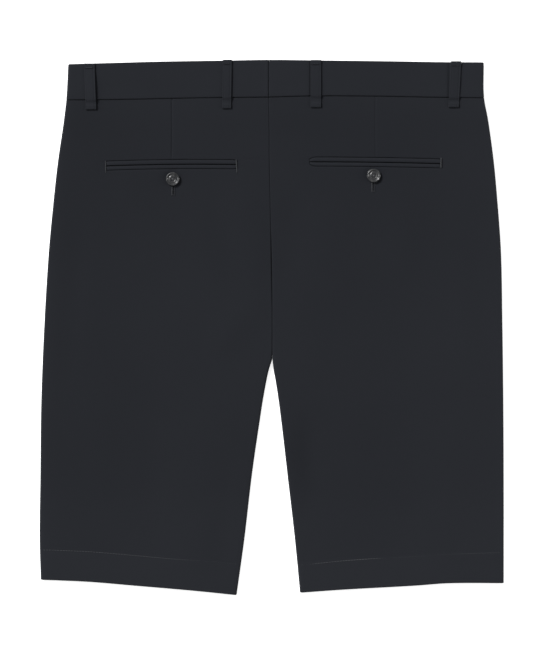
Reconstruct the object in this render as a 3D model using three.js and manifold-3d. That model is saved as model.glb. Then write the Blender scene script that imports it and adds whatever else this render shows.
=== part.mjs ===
// Tailored bermuda shorts, pressed and laid flat on their front, so that the back is on top.
// Millimetres. +X is the wearer's right, +Y runs from hem to waist and +Z is up.
// The origin is on the floor, under the middle of the garment.
// Each leg is a front and a back panel that meet in a rolled edge at the side seam and the inseam.

import * as THREE from "three";
import { mergeVertices } from "three/addons/utils/BufferGeometryUtils.js";
import Module from "manifold-3d";

const { clamp, lerp, smoothstep, degToRad } = THREE.MathUtils;
const range = (count, item) => Array.from({ length: count }, (_, i) => item(i));

// Cloth
const CLOTH = 1.0; // wall of one layer of suiting
const BAND_CLOTH = 2.2; // the waistband is two layers and a stiffener
const SEAM_GAP = 0.3; // between pieces that are sewn to each other
const EDGE_ROLL = 2.5; // outer radius of a panel where it rolls over at a seam
const BAND_ROLL = 3.0; // outer radius of the waistband's fold at the side
const END_BLUNT = 20; // degrees either side of a pressed strip's tip that are left flat

// Heights above the floor
const BAND_LIFT = 1.3; // the front waistband lies on the front belt loops
const BAND_TOP = BAND_LIFT + 2 * BAND_ROLL;
const PANEL_LIFT = 1.5; // the waistband holds the tops of the panels up with it
const LIFT_FLAT = 14; // length below the waist seam that stays up
const LIFT_FADE = 30; // length over which a panel comes down from there
const LEG_STACK = 2 * EDGE_ROLL + SEAM_GAP; // floor to the top of the back at a rolled edge
const PUFF = 0.55; // how much higher the back lies in the middle of a leg

// Waist, crotch and hem
const FRONT_DIP = 14; // the front waist is cut this much lower at the centre
const CROTCH_Y = -33.6;
const CROTCH_BLEND = { above: 10, below: 4 }; // where the centre seam turns into two rolled inseams
const HEM_DEPTH = 31; // the turned-up hem

// Outlines of the pressed garment, measured from its centre
const SIDE_LEFT = [
  { y: 277, x: -213.1 },
  { y: 239, x: -215.2 },
  { y: 217, x: -217.8 },
  { y: 175, x: -224.0 },
  { y: 133, x: -228.7 },
  { y: 81, x: -233.6 },
  { y: 7, x: -238.2 },
  { y: -77, x: -241.6 },
  { y: -160, x: -242.6 },
  { y: -222, x: -243.3 },
  { y: -266, x: -242.0 },
];
const SIDE_RIGHT = [
  { y: 279, x: 222.5 },
  { y: 241, x: 222.8 },
  { y: 217, x: 227.2 },
  { y: 175, x: 233.0 },
  { y: 133, x: 236.9 },
  { y: 81, x: 240.6 },
  { y: 7, x: 242.1 },
  { y: -77, x: 243.1 },
  { y: -160, x: 243.5 },
  { y: -270, x: 243.5 },
];
const CENTRE_SEAM = [
  { y: 281, x: -3.1 },
  { y: 175, x: -3.1 },
  { y: 125, x: -1.5 },
  { y: 75, x: -0.1 },
  { y: 24, x: 0.4 },
  { y: CROTCH_Y, x: 0.5 },
];
const INSEAM_LEFT = [
  { y: CROTCH_Y, x: 0.5 - SEAM_GAP / 2 },
  { y: -45, x: -3.0 },
  { y: -56, x: -5.4 },
  { y: -77, x: -9.2 },
  { y: -98, x: -12.4 },
  { y: -150, x: -20.0 },
  { y: -224, x: -28.8 },
  { y: -282, x: -36.9 },
];
const INSEAM_RIGHT = [
  { y: CROTCH_Y, x: 0.5 + SEAM_GAP / 2 },
  { y: -45, x: 2.2 },
  { y: -56, x: 4.2 },
  { y: -77, x: 7.4 },
  { y: -98, x: 10.1 },
  { y: -150, x: 16.1 },
  { y: -224, x: 24.6 },
  { y: -280, x: 30.0 },
];
const WAIST_TOP = [
  { x: -216, y: 275.8 },
  { x: -180, y: 276.8 },
  { x: -117, y: 278.5 },
  { x: -54, y: 279.5 },
  { x: -3, y: 280.3 },
  { x: 62, y: 279.6 },
  { x: 135, y: 278.7 },
  { x: 177, y: 278.0 },
  { x: 224, y: 277.8 },
];
const WAIST_SEAM = [
  { x: -217, y: 239.3 },
  { x: -164, y: 239.7 },
  { x: -75, y: 241.5 },
  { x: -3, y: 242.3 },
  { x: 43, y: 243.5 },
  { x: 104, y: 243.3 },
  { x: 182, y: 241.9 },
  { x: 225, y: 241.5 },
];
const HEM_LEFT = [
  { x: -244, y: -264.5 },
  { x: -222, y: -265.2 },
  { x: -190, y: -266.7 },
  { x: -148, y: -270.2 },
  { x: -75, y: -276.6 },
  { x: -34, y: -280.9 },
];
const HEM_RIGHT = [
  { x: 28, y: -278.2 },
  { x: 72, y: -275.0 },
  { x: 156, y: -270.2 },
  { x: 180, y: -268.3 },
  { x: 204, y: -267.8 },
  { x: 245, y: -268.1 },
];

// Back pockets: the slit follows y = level + slope * dx - arch * dx * dx about its middle.
const POCKETS = [
  { name: "left", x: -104.9, level: 171.3, slope: 0.0115, arch: 0.00016, length: 137.8 },
  { name: "right", x: 109.3, level: 173.7, slope: -0.0185, arch: 0.0001, length: 138.9 },
];
const WELT = { upper: 5.0, lower: 4.6, proud: 0.4 }; // height of each strip, and how far it stands up

// Four-hole buttons. The profile runs from the middle of the underside to the middle of the dish.
const BUTTONS = [
  { name: "left", x: -103.5, y: 155.4 },
  { name: "right", x: 107.0, y: 159.0 },
];
const BUTTON_PROFILE = [
  { out: 0, up: 0 },
  { out: 5.05, up: 0 },
  { out: 6.75, up: 0.7 },
  { out: 7.25, up: 1.5 },
  { out: 7.0, up: 2.55 },
  { out: 6.5, up: 2.9 },
  { out: 5.75, up: 2.65 },
  { out: 4.95, up: 2.0 },
  { out: 0, up: 2.0 },
];
const BUTTON_HOLE = { radius: 0.85, reach: 1.55, deep: 9 };

// Belt loops: x is the middle of the loop, and lean is how far its top lies to +X of its foot.
const BACK_LOOPS = [
  { name: "back_far_left", x: -188.8, lean: -0.9, width: 12.0, foot: 228.7 },
  { name: "back_near_left", x: -45.6, lean: 0.2, width: 10.8, foot: 229.2 },
  { name: "back_near_right", x: 46.7, lean: 0.9, width: 12.2, foot: 230.8 },
  { name: "back_far_right", x: 192.6, lean: 1.7, width: 12.2, foot: 230.8 },
];
const FRONT_LOOPS = [
  { name: "front_left", x: -98, lean: 0, width: 12.0 },
  { name: "front_right", x: 100, lean: 0, width: 12.0 },
];
const LOOP = {
  cloth: 1.2, // between its ends
  folded: 1.9, // at its ends, where it is folded under
  fold: 5, // length of a folded end
  bow: 0.9, // how far it stands off the waistband
  above: 0.6, // reach above the waistband's top edge
  below: 12, // reach below the waist seam at the front
  edge: 0.3, // rounding of its long edges, as a share of its cloth
  end: 0.25, // rounding of its ends, as a share of its cloth
};

// The underlap behind the closed fly, from the centre front.
const FLY = { left: -34, right: 12, length: 165, round: 26, roundWide: 0.75, clear: 0.45 };

// Steps of the meshes
const STEPS = {
  roll: 4,
  middle: 8,
  lift: 5,
  aboveCrotch: 8,
  belowCrotch: 9,
  hemFold: 5,
  bandFold: 6,
  loop: 10,
  welt: 10,
  flyFoot: 6,
  button: 28,
  buttonHole: 10,
};

// A smooth curve through a table's rows, as a function of one of its columns.
function through(rows, from, to) {
  const sorted = [...rows].sort((a, b) => a[from] - b[from]);
  const at = sorted.map((row) => row[from]);
  const value = sorted.map((row) => row[to]);
  const last = at.length - 1;
  const chord = (i) => (value[i + 1] - value[i]) / (at[i + 1] - at[i]);
  const slope = at.map((_, i) => (chord(Math.max(i - 1, 0)) + chord(Math.min(i, last - 1))) / 2);
  return (x) => {
    let i = 0;
    while (i < last - 1 && x > at[i + 1]) i += 1;
    const span = at[i + 1] - at[i];
    const t = clamp((x - at[i]) / span, 0, 1);
    const bend = span * (slope[i] * t * (1 - t) ** 2 - slope[i + 1] * t * t * (1 - t));
    return lerp(value[i], value[i + 1], t * t * (3 - 2 * t)) + bend;
  };
}

const waistTop = through(WAIST_TOP, "x", "y");
const waistSeam = through(WAIST_SEAM, "x", "y");
const centreSeam = through(CENTRE_SEAM, "y", "x");

// A leg's side and inner edges are x as a function of y, and its hem is y as a function of x.
function legOutline(name, direction, sideRows, inseamRows, hemRows) {
  const inseam = through(inseamRows, "y", "x");
  const inner = (y) => (y > CROTCH_Y ? centreSeam(y) + (direction * SEAM_GAP) / 2 : inseam(y));
  return { name, direction, side: through(sideRows, "y", "x"), inner, hem: through(hemRows, "x", "y") };
}
const LEGS = [
  legOutline("left", -1, SIDE_LEFT, INSEAM_LEFT, HEM_LEFT),
  legOutline("right", 1, SIDE_RIGHT, INSEAM_RIGHT, HEM_RIGHT),
];
const legAt = (x) => (x < centreSeam(0) ? LEGS[0] : LEGS[1]);

// How far across a leg a point lies, from 0 at its inner edge to 1 at its side.
const across = (leg, x, y) => clamp((x - leg.inner(y)) / (leg.side(y) - leg.inner(y)), 0, 1);

// The front waist dips towards the centre front, and meets the back waist at the side.
const frontDip = (leg, x) => FRONT_DIP * (1 - across(leg, x, waistSeam(x)) ** 2);
const frontSeam = (leg, x) => waistSeam(x) - frontDip(leg, x);
const frontTop = (leg, x) => waistTop(x) - frontDip(leg, x);

// How much the waistband holds a panel up, from 1 near the waist seam to 0 lower down.
const held = (below) => 1 - smoothstep(below, LIFT_FLAT, LIFT_FLAT + LIFT_FADE);

// Height of a panel's outer face above the floor, away from its rolled edges.
const frontFace = (leg, x, y) => PANEL_LIFT * held(frontSeam(leg, x) - y);
function backFace(leg, x, y) {
  const puffed = PUFF * Math.sin(Math.PI * across(leg, x, y));
  return LEG_STACK + lerp(puffed, PANEL_LIFT, held(waistSeam(x) - y));
}
const backFaceAt = (x, y) => backFace(legAt(x), x, y);

// A closed solid from rings of points with the same count. The second half of a ring runs back beside
// its first half, and each end is closed by a strip between the two.
function loft(rings) {
  const count = rings[0].length;
  const lastRing = (rings.length - 1) * count;
  const index = [];
  for (let ring = 0; ring < lastRing; ring += count) {
    for (let k = 0; k < count; k += 1) {
      const [a, b] = [ring + k, ring + ((k + 1) % count)];
      const [c, d] = [a + count, b + count];
      index.push(a, b, d, a, d, c);
    }
  }
  for (let k = 0; k < count / 2 - 1; k += 1) {
    const [a, b, c, d] = [k, k + 1, count - 2 - k, count - 1 - k];
    const [e, f, g, h] = [a, b, c, d].map((point) => point + lastRing);
    index.push(a, d, b, b, d, c, e, f, h, f, g, h);
  }
  const geometry = new THREE.BufferGeometry().setFromPoints(rings.flat());
  geometry.setIndex(index);
  return facingOut(geometry);
}

// The geometry, with its faces turned round if they point inwards.
function facingOut(geometry) {
  const points = geometry.getAttribute("position");
  const index = geometry.getIndex().array;
  const corners = [new THREE.Vector3(), new THREE.Vector3(), new THREE.Vector3()];
  let volume = 0;
  for (let i = 0; i < index.length; i += 3) {
    corners.forEach((corner, k) => corner.fromBufferAttribute(points, index[i + k]));
    volume += corners[0].dot(corners[1].cross(corners[2]));
  }
  if (volume < 0) {
    for (let i = 0; i < index.length; i += 3) [index[i + 1], index[i + 2]] = [index[i + 2], index[i + 1]];
  }
  return geometry;
}

// The points of an arc in the (y, depth) plane, from one angle to another in degrees.
function arc(centreY, centreDepth, radius, from, to, steps) {
  return range(steps + 1, (i) => {
    const angle = degToRad(lerp(from, to, i / steps));
    return new THREE.Vector2(centreY + radius * Math.cos(angle), centreDepth + radius * Math.sin(angle));
  });
}

// A place on an edge that is rolled over (rolled = 1), still flat (0) or between the two: how far in from
// the edge it lies, how far below the outer face, and the parts of its normal.
function rollPlace(step, rolled) {
  const angle = (step / STEPS.roll) * (Math.PI / 2);
  const sideways = rolled * Math.cos(angle);
  const up = lerp(1, Math.sin(angle), rolled);
  const length = Math.hypot(sideways, up);
  return {
    inset: EDGE_ROLL * lerp(step / STEPS.roll, 1 - Math.cos(angle), rolled),
    drop: EDGE_ROLL * rolled * (1 - Math.sin(angle)),
    sideways: sideways / length,
    up: up / length,
  };
}

// Where a station of a panel lies at height y: its x, its drop below the outer face and its normal.
const LAST_STATION = 2 * STEPS.roll + STEPS.middle;
function panelPlace(leg, station, y) {
  const [inner, side, toSide] = [leg.inner(y), leg.side(y), leg.direction];
  if (station <= STEPS.roll) {
    const rolled = 1 - smoothstep(y, CROTCH_Y - CROTCH_BLEND.below, CROTCH_Y + CROTCH_BLEND.above);
    const at = rollPlace(station, rolled);
    return { x: inner + toSide * at.inset, drop: at.drop, nx: -toSide * at.sideways, nz: at.up };
  }
  if (station >= LAST_STATION - STEPS.roll) {
    const at = rollPlace(LAST_STATION - station, 1);
    return { x: side - toSide * at.inset, drop: at.drop, nx: toSide * at.sideways, nz: at.up };
  }
  const share = (station - STEPS.roll) / STEPS.middle;
  return { x: lerp(inner + toSide * EDGE_ROLL, side - toSide * EDGE_ROLL, share), drop: 0, nx: 0, nz: 1 };
}

// The height at which a station meets an edge that is given as y over x.
function meet(leg, station, edge) {
  const approaches = 6;
  let y = edge(leg.inner(0));
  for (let i = 0; i < approaches; i += 1) y = edge(panelPlace(leg, station, y).x);
  return y;
}

// Rows of a panel, as distances below the waist seam: first where its height changes, then to the crotch
// and to the hem, closer together at both.
const LIFT_ROWS = [0, ...range(STEPS.lift + 1, (i) => LIFT_FLAT + (LIFT_FADE * i) / STEPS.lift)];
function rowShares(length, crotch) {
  const towards = (t) => Math.sin((Math.PI / 2) * t);
  const eased = (t) => (1 - Math.cos(Math.PI * t)) / 2;
  const lifted = LIFT_ROWS.at(-1);
  const above = range(STEPS.aboveCrotch, (i) => lerp(lifted, crotch, towards((i + 1) / STEPS.aboveCrotch)));
  const below = range(STEPS.belowCrotch, (i) => lerp(crotch, length, eased((i + 1) / STEPS.belowCrotch)));
  return [...LIFT_ROWS, ...above, ...below].map((distance) => distance / length);
}

// One leg panel: a wall with its hem turned up inside. faceUp is 1 for a back and -1 for a front.
function legPanel(leg, faceUp) {
  const seam = faceUp > 0 ? waistSeam : (x) => frontSeam(leg, x);
  const face = faceUp > 0 ? backFace : frontFace;
  const fold = (2 * CLOTH + SEAM_GAP) / 2;
  const crotch = seam(leg.inner(0)) - CROTCH_Y;
  const shares = rowShares(seam(leg.inner(0)) - leg.hem(leg.inner(0)) - fold, crotch);
  const rings = range(LAST_STATION + 1, (station) => {
    const top = meet(leg, station, seam) - SEAM_GAP / 2;
    const hem = meet(leg, station, leg.hem);
    const layer = (depth) => [
      ...shares.map((share) => new THREE.Vector2(lerp(top, hem + fold, share), depth)),
      ...arc(hem + fold, fold, fold - depth, -90, -270, STEPS.hemFold).slice(1),
      ...[0.5, 1].map((share) => new THREE.Vector2(hem + share * HEM_DEPTH, 2 * fold - depth)),
    ];
    return [...layer(0), ...layer(CLOTH).reverse()].map(({ x: y, y: depth }) => {
      const at = panelPlace(leg, station, y);
      const z = face(leg, at.x, y) - faceUp * (at.drop + depth * at.nz);
      return new THREE.Vector3(at.x - depth * at.nx, y, z);
    });
  });
  return loft(rings);
}

// The section of a pressed strip in the (y, depth) plane: its face from bottom to top, then its back.
function stripSection(bottom, top, thick) {
  const round = thick / 2;
  return [
    ...arc(bottom + round, round, round, 180 + END_BLUNT, 270, 2),
    ...arc(top - round, round, round, -90, -END_BLUNT, 2),
    ...arc(top - round, round, round, END_BLUNT, 90, 2),
    ...arc(bottom + round, round, round, 90, 180 - END_BLUNT, 2),
  ];
}

// Half of the waistband: from the centre back, round the fold at the side, to the centre front.
function waistband(leg) {
  const start = centreSeam(waistSeam(0)) + (leg.direction * SEAM_GAP) / 2;
  const foldAt = (y) => leg.side(y) - leg.direction * BAND_ROLL;
  const shares = range(STEPS.middle + 1, (i) => i / STEPS.middle);
  const ring = (share, seam, top, place) => {
    const x = lerp(start, foldAt(waistSeam(0)), share);
    const section = stripSection(seam(x) + SEAM_GAP / 2, top(x), BAND_CLOTH);
    return section.map(({ x: y, y: depth }) => place(y, depth));
  };
  const onBack = shares.map((share) =>
    ring(share, waistSeam, waistTop, (y, depth) => {
      return new THREE.Vector3(lerp(start, foldAt(y), share), y, BAND_TOP - depth);
    }),
  );
  const onFold = range(STEPS.bandFold - 1, (i) => {
    const angle = lerp(Math.PI / 2, -Math.PI / 2, (i + 1) / STEPS.bandFold);
    return ring(1, waistSeam, waistTop, (y, depth) => {
      const reach = BAND_ROLL - depth;
      const x = foldAt(y) + leg.direction * reach * Math.cos(angle);
      return new THREE.Vector3(x, y, BAND_LIFT + BAND_ROLL + reach * Math.sin(angle));
    });
  });
  const [seam, top] = [(x) => frontSeam(leg, x), (x) => frontTop(leg, x)];
  const onFront = shares.map((share) =>
    ring(share, seam, top, (y, depth) => {
      return new THREE.Vector3(lerp(start, foldAt(y), share), y, BAND_LIFT + depth);
    }),
  );
  return loft([...onBack, ...onFold, ...onFront.reverse()]);
}

// A belt loop: a strip over rest(y), thicker at both ends, where it is folded under.
function beltLoop({ x, width, lean }, foot, head, rest, { cloth, folded, bow }) {
  const edge = LOOP.edge * cloth;
  const crossings = [
    { offset: -width / 2, thin: edge },
    { offset: -width / 2 + edge, thin: 0 },
    { offset: width / 2 - edge, thin: 0 },
    { offset: width / 2, thin: edge },
  ];
  const rings = crossings.map(({ offset, thin }) => {
    const under = [];
    const over = [];
    for (let i = 0; i <= STEPS.loop; i += 1) {
      const share = (1 - Math.cos((Math.PI * i) / STEPS.loop)) / 2;
      const y = lerp(foot + thin, head - thin, share);
      const fromEnd = Math.min(y - foot, head - y);
      const fold = 1 - smoothstep(fromEnd, LOOP.fold - 1, LOOP.fold + 1);
      const low = rest(y) + SEAM_GAP + bow * Math.sin(Math.PI * share) * (1 - fold);
      const round = i === 0 || i === STEPS.loop ? LOOP.end * cloth : 0;
      const leaning = x + offset + lean * ((y - foot) / (head - foot) - 0.5);
      under.push(new THREE.Vector3(leaning, y, low + round));
      over.push(new THREE.Vector3(leaning, y, low + lerp(cloth, folded, fold) - thin - round));
    }
    return [...under, ...over.reverse()];
  });
  return loft(rings);
}

// A back loop goes from the panel over the waistband.
function backLoop(row) {
  const seamY = waistSeam(row.x);
  const step = 3; // length over which it climbs onto the waistband
  const rest = (y) => lerp(backFaceAt(row.x, y), BAND_TOP, smoothstep(y, seamY - step, seamY));
  return beltLoop(row, row.foot, waistTop(row.x) + LOOP.above, rest, LOOP);
}

// A front loop is pressed flat between the waistband and the floor.
function frontLoop(row) {
  const leg = legAt(row.x);
  const pressed = BAND_LIFT - SEAM_GAP;
  const [foot, head] = [frontSeam(leg, row.x) - LOOP.below, frontTop(leg, row.x) + LOOP.above];
  return beltLoop(row, foot, head, () => -SEAM_GAP, { cloth: pressed, folded: pressed, bow: 0 });
}

const slitY = (pocket, dx) => pocket.level + pocket.slope * dx - pocket.arch * dx * dx;

// The hole in a back panel that the two welts fill.
function pocketHole(pocket) {
  const [low, high] = [WELT.lower + 1.5 * SEAM_GAP, WELT.upper + 1.5 * SEAM_GAP];
  const half = pocket.length / 2 + SEAM_GAP;
  const places = range(STEPS.welt + 1, (i) => lerp(-half, half, i / STEPS.welt));
  const below = places.map((dx) => new THREE.Vector2(pocket.x + dx, slitY(pocket, dx) - low));
  const above = places.map((dx) => new THREE.Vector2(pocket.x + dx, slitY(pocket, dx) + high));
  const outline = new THREE.Shape([...below, ...above.reverse()]);
  const hole = new THREE.ExtrudeGeometry(outline, { depth: LEG_STACK, bevelEnabled: false });
  return hole.translate(0, 0, backFaceAt(pocket.x, pocket.level) - 2 * CLOTH);
}

// A pocket welt: a pressed strip along the slit, from one height to another.
function welt(pocket, from, to) {
  const rings = range(STEPS.welt + 1, (i) => {
    const dx = pocket.length * (i / STEPS.welt - 0.5);
    const slit = slitY(pocket, dx);
    const top = backFaceAt(pocket.x + dx, slit) + WELT.proud;
    const section = stripSection(slit + from, slit + to, CLOTH + WELT.proud);
    return section.map(({ x: y, y: depth }) => new THREE.Vector3(pocket.x + dx, y, top - depth));
  });
  return loft(rings);
}

// The underlap behind the fly: a strip with a rounded foot, on the inner face of the fronts.
function flyUnderlap() {
  const middle = centreSeam(0);
  const seamY = frontSeam(LEGS[0], middle);
  const footY = seamY - FLY.length;
  const inFoot = range(STEPS.flyFoot + 1, (i) => footY + FLY.round * (i / STEPS.flyFoot) ** 2);
  const inLift = LIFT_ROWS.map((distance) => seamY - distance - 1).reverse();
  const rings = [...inFoot, ...inLift].map((y) => {
    const inRound = Math.max(0, 1 - (y - footY) / FLY.round);
    const narrow = (FLY.right - FLY.left) * FLY.roundWide * (1 - Math.sqrt(1 - inRound * inRound));
    const [left, right] = [middle + FLY.left + narrow, middle + FLY.right];
    const z = PANEL_LIFT * held(seamY - y) + CLOTH + FLY.clear;
    return [
      new THREE.Vector3(left, y, z),
      new THREE.Vector3(right, y, z),
      new THREE.Vector3(right, y, z + CLOTH),
      new THREE.Vector3(left, y, z + CLOTH),
    ];
  });
  return loft(rings);
}

const wasm = await Module();
wasm.setup();

// A closed geometry as a solid that can be cut, and a solid as a geometry again.
function solidOf(geometry) {
  const bare = geometry.clone();
  bare.deleteAttribute("normal");
  bare.deleteAttribute("uv");
  const { attributes, index } = facingOut(mergeVertices(bare));
  const vertProperties = attributes.position.array;
  const triVerts = new Uint32Array(index.array);
  return new wasm.Manifold(new wasm.Mesh({ numProp: 3, vertProperties, triVerts }));
}
function geometryOf(solid) {
  const { vertProperties, triVerts } = solid.getMesh();
  const geometry = new THREE.BufferGeometry();
  geometry.setAttribute("position", new THREE.BufferAttribute(vertProperties, 3));
  geometry.setIndex(new THREE.BufferAttribute(triVerts, 1));
  return geometry;
}

// A four-hole button with a rounded rim and a shallow dish.
function button() {
  const profile = BUTTON_PROFILE.map(({ out, up }) => new THREE.Vector2(out, up));
  let solid = solidOf(new THREE.LatheGeometry(profile, STEPS.button).rotateX(Math.PI / 2));
  const { radius, reach, deep } = BUTTON_HOLE;
  for (const degrees of [45, 135, 225, 315]) {
    const angle = degToRad(degrees);
    const hole = new THREE.CylinderGeometry(radius, radius, deep, STEPS.buttonHole).rotateX(Math.PI / 2);
    solid = solid.subtract(solidOf(hole.translate(reach * Math.cos(angle), reach * Math.sin(angle), 0)));
  }
  return geometryOf(solid);
}

const suiting = new THREE.MeshStandardMaterial({ color: 0x292a2f, roughness: 0.9, metalness: 0 });
const horn = new THREE.MeshStandardMaterial({ color: 0x35363a, roughness: 0.35, metalness: 0 });

const shorts = new THREE.Group();
function add(name, geometry, material = suiting) {
  const mesh = new THREE.Mesh(geometry, material.clone());
  mesh.name = name;
  shorts.add(mesh);
  return mesh;
}

for (const leg of LEGS) {
  const pocket = POCKETS.find(({ name }) => name === leg.name);
  const back = solidOf(legPanel(leg, 1)).subtract(solidOf(pocketHole(pocket)));
  add(`back_panel_${leg.name}`, geometryOf(back));
  add(`front_panel_${leg.name}`, legPanel(leg, -1));
  add(`waistband_${leg.name}`, waistband(leg));
  add(`pocket_welt_upper_${leg.name}`, welt(pocket, SEAM_GAP / 2, WELT.upper + SEAM_GAP / 2));
  add(`pocket_welt_lower_${leg.name}`, welt(pocket, -WELT.lower - SEAM_GAP / 2, -SEAM_GAP / 2));
}
for (const row of BACK_LOOPS) add(`belt_loop_${row.name}`, backLoop(row));
for (const row of FRONT_LOOPS) add(`belt_loop_${row.name}`, frontLoop(row));
add("fly_underlap", flyUnderlap());
for (const { name, x, y } of BUTTONS) {
  add(`pocket_button_${name}`, button(), horn).position.set(x, y, backFaceAt(x, y) + SEAM_GAP);
}

export default shorts;
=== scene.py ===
# %% [markdown]
# # Bermuda shorts, pressed and laid flat on their front
# Tailored shorts in charcoal-navy suiting, seen from the back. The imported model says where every
# piece lies, and this script gives each piece its cloth, its thread and its finish. Everything is
# worked out in millimetres, as a pattern maker would note it, and turned into metres at the end.

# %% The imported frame
import math
from types import SimpleNamespace as Sizes

import bpy
import numpy as np
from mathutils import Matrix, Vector


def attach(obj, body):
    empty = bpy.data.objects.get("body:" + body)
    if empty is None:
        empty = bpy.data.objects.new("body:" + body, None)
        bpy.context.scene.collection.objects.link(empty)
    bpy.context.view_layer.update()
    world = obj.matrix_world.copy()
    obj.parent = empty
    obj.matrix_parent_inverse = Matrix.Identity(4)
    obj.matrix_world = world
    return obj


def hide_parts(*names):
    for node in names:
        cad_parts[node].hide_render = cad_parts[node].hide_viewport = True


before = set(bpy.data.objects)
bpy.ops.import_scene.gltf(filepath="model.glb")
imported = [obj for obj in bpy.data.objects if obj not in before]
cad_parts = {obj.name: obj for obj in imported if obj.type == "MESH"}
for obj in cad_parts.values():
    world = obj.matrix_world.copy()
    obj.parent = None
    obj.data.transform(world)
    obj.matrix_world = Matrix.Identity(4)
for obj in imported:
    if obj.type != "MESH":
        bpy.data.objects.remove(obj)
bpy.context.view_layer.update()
MM = 0.001
print("nodes of the frame:", len(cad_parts))

# %% [markdown]
# ## The outline of the pressed garment
# Trousers that are pressed flat have an outline of long, quiet curves: side seams, inseams, waist
# and hems. They could be drawn as Bezier curves in Blender's viewport. Short tables of measured
# points are easier to read and to correct, and a smooth curve through the points does the rest.

# %% Tables, and curves through measured points
def table(columns, *rows):
    """Rows of sizes, each with the named columns."""
    return [Sizes(**dict(zip(columns.split(), row))) for row in rows]


def through(rows):
    """A smooth curve through rows of (place, value)."""
    at, value = (np.array(column, float) for column in zip(*sorted(rows)))
    chord = np.diff(value) / np.diff(at)
    slope = np.concatenate([chord[:1], (chord[1:] + chord[:-1]) / 2, chord[-1:]])

    def curve(place):
        i = np.clip(np.searchsorted(at, place) - 1, 0, len(at) - 2)
        span = at[i + 1] - at[i]
        t = np.clip((place - at[i]) / span, 0, 1)
        bend = span * (slope[i] * t * (1 - t) ** 2 - slope[i + 1] * t * t * (1 - t))
        return value[i] + (value[i + 1] - value[i]) * t * t * (3 - 2 * t) + bend

    return curve


def blend(first, second, share):
    return first + (second - first) * share


def ease(value, start, end):
    """0 before start, 1 after end and a soft step between them."""
    t = np.clip((value - start) / (end - start), 0, 1)
    return t * t * (3 - 2 * t)


# Sides and seams are rows of (y, x); waist and hems are rows of (x, y).
SIDE_LEFT = (
    (277, -213.1), (239, -215.2), (217, -217.8), (175, -224.0), (133, -228.7), (81, -233.6),
    (7, -238.2), (-77, -241.6), (-160, -242.6), (-222, -243.3), (-266, -242.0),
)
SIDE_RIGHT = (
    (279, 222.5), (241, 222.8), (217, 227.2), (175, 233.0), (133, 236.9),
    (81, 240.6), (7, 242.1), (-77, 243.1), (-160, 243.5), (-270, 243.5),
)
CENTRE_SEAM = (
    (281, -2.9), (235, -2.8), (205, -2.4), (175, -2.2), (125, -1.2), (75, 0.0), (24, 0.75), (-33.6, 0.75),
)
INSEAM_LEFT = (
    (-33.6, 0.6), (-45, -3.0), (-56, -5.4), (-77, -9.2),
    (-98, -12.4), (-150, -20.0), (-224, -28.8), (-282, -36.9),
)
INSEAM_RIGHT = (
    (-33.6, 0.9), (-45, 2.2), (-56, 4.2), (-77, 7.4),
    (-98, 10.1), (-150, 16.1), (-224, 24.6), (-280, 30.0),
)
WAIST_TOP = (
    (-216, 275.8), (-180, 276.8), (-117, 278.5), (-54, 279.5), (-3, 280.3),
    (62, 279.6), (135, 278.7), (177, 278.0), (224, 277.8),
)
WAIST_SEAM = (
    (-217, 239.3), (-164, 239.7), (-75, 241.5), (-3, 242.3),
    (43, 243.5), (104, 243.3), (182, 241.9), (225, 241.5),
)
HEM_LEFT = (
    (-244, -264.5), (-222, -265.2), (-190, -266.7), (-148, -270.2), (-75, -276.6), (-34, -280.9),
)
HEM_RIGHT = (
    (28, -278.2), (72, -275.0), (156, -270.2), (180, -268.3), (204, -267.8), (245, -268.1),
)
# A line down the middle of each back, where its dart and its button lie, as rows of (y, x).
GRAIN_LEFT = ((282, -105.0), (180, -104.7), (120, -108), (0, -116), (-120, -127), (-285, -139))
GRAIN_RIGHT = ((282, 109.0), (180, 108.9), (120, 111), (0, 119), (-120, 128), (-285, 136))
CROTCH = -33.6  # y where the centre seam ends and the two inseams begin

WAIST_GROOVE = 1.15  # the groove of the waist seam lies this far below the stitching line
waist_top, centre_seam = through(WAIST_TOP), through(CENTRE_SEAM)
waist_seam = through([(x, y - WAIST_GROOVE) for x, y in WAIST_SEAM])
print("waist", round(float(waist_seam(-3.0)), 1), "hem", round(float(through(HEM_LEFT)(-100.0)), 1))

# %% [markdown]
# ## Layers and heights
# A pressed leg is a stack: the front on the table, the hem allowance folded up inside it, and the
# back on top, which rolls over at each seam. The waistband is thicker and lies on the front belt
# loops, so it holds the panel tops up. One formula for each face keeps all the pieces on each other.

# %% Sizes of the cloth and of the stack
CLOTH = 0.7  # one layer of suiting
SEAM_GAP = 0.3  # between two pieces that are sewn together
CLOSED_SEAM = 0.06  # what is left between two pieces whose seam is pressed shut
EDGE_ROLL = 2.5  # outer radius of a rolled edge
BAND_ROLL = 3.0  # outer radius of the waistband where it folds round the side
BAND_CLOTH = 2.2  # two layers with a stiffener
BAND_LIFT = 1.3  # height at which the front belt loops hold the waistband
BAND_TOP = BAND_LIFT + 2 * BAND_ROLL
PANEL_LIFT = 1.5  # height at which the waistband holds the tops of the fronts
BACK_LIFT = 0.95  # the back comes out a step below the face of the waistband
LIFT_FLAT, LIFT_FADE = 14, 30  # the panels stay lifted that far below the waist, and then sink
LEG_STACK = 2 * EDGE_ROLL + SEAM_GAP
PUFF = 0.55  # how much a leg swells in its middle
FRONT_DIP = 14  # how much lower the front waist is cut at its centre
HEM_DEPTH = 31  # height of the allowance that is turned up inside
HEM_SHOWS = 0.18  # how much the allowance inside lifts the cloth over it
TUCK = Sizes(deep=1.05, wide=0.9, under=0.7)  # the back dives under the waistband's edge
FRONT_TUCK = Sizes(deep=0.4, wide=1.2)
QUIET = Sizes(side=0.07, inner=0.09, hem=0.03)  # share of the width over which relief fades at a seam
NEAR_CROTCH = Sizes(below=30, above=12)  # where the waves begin to fade at the inseam too


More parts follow.
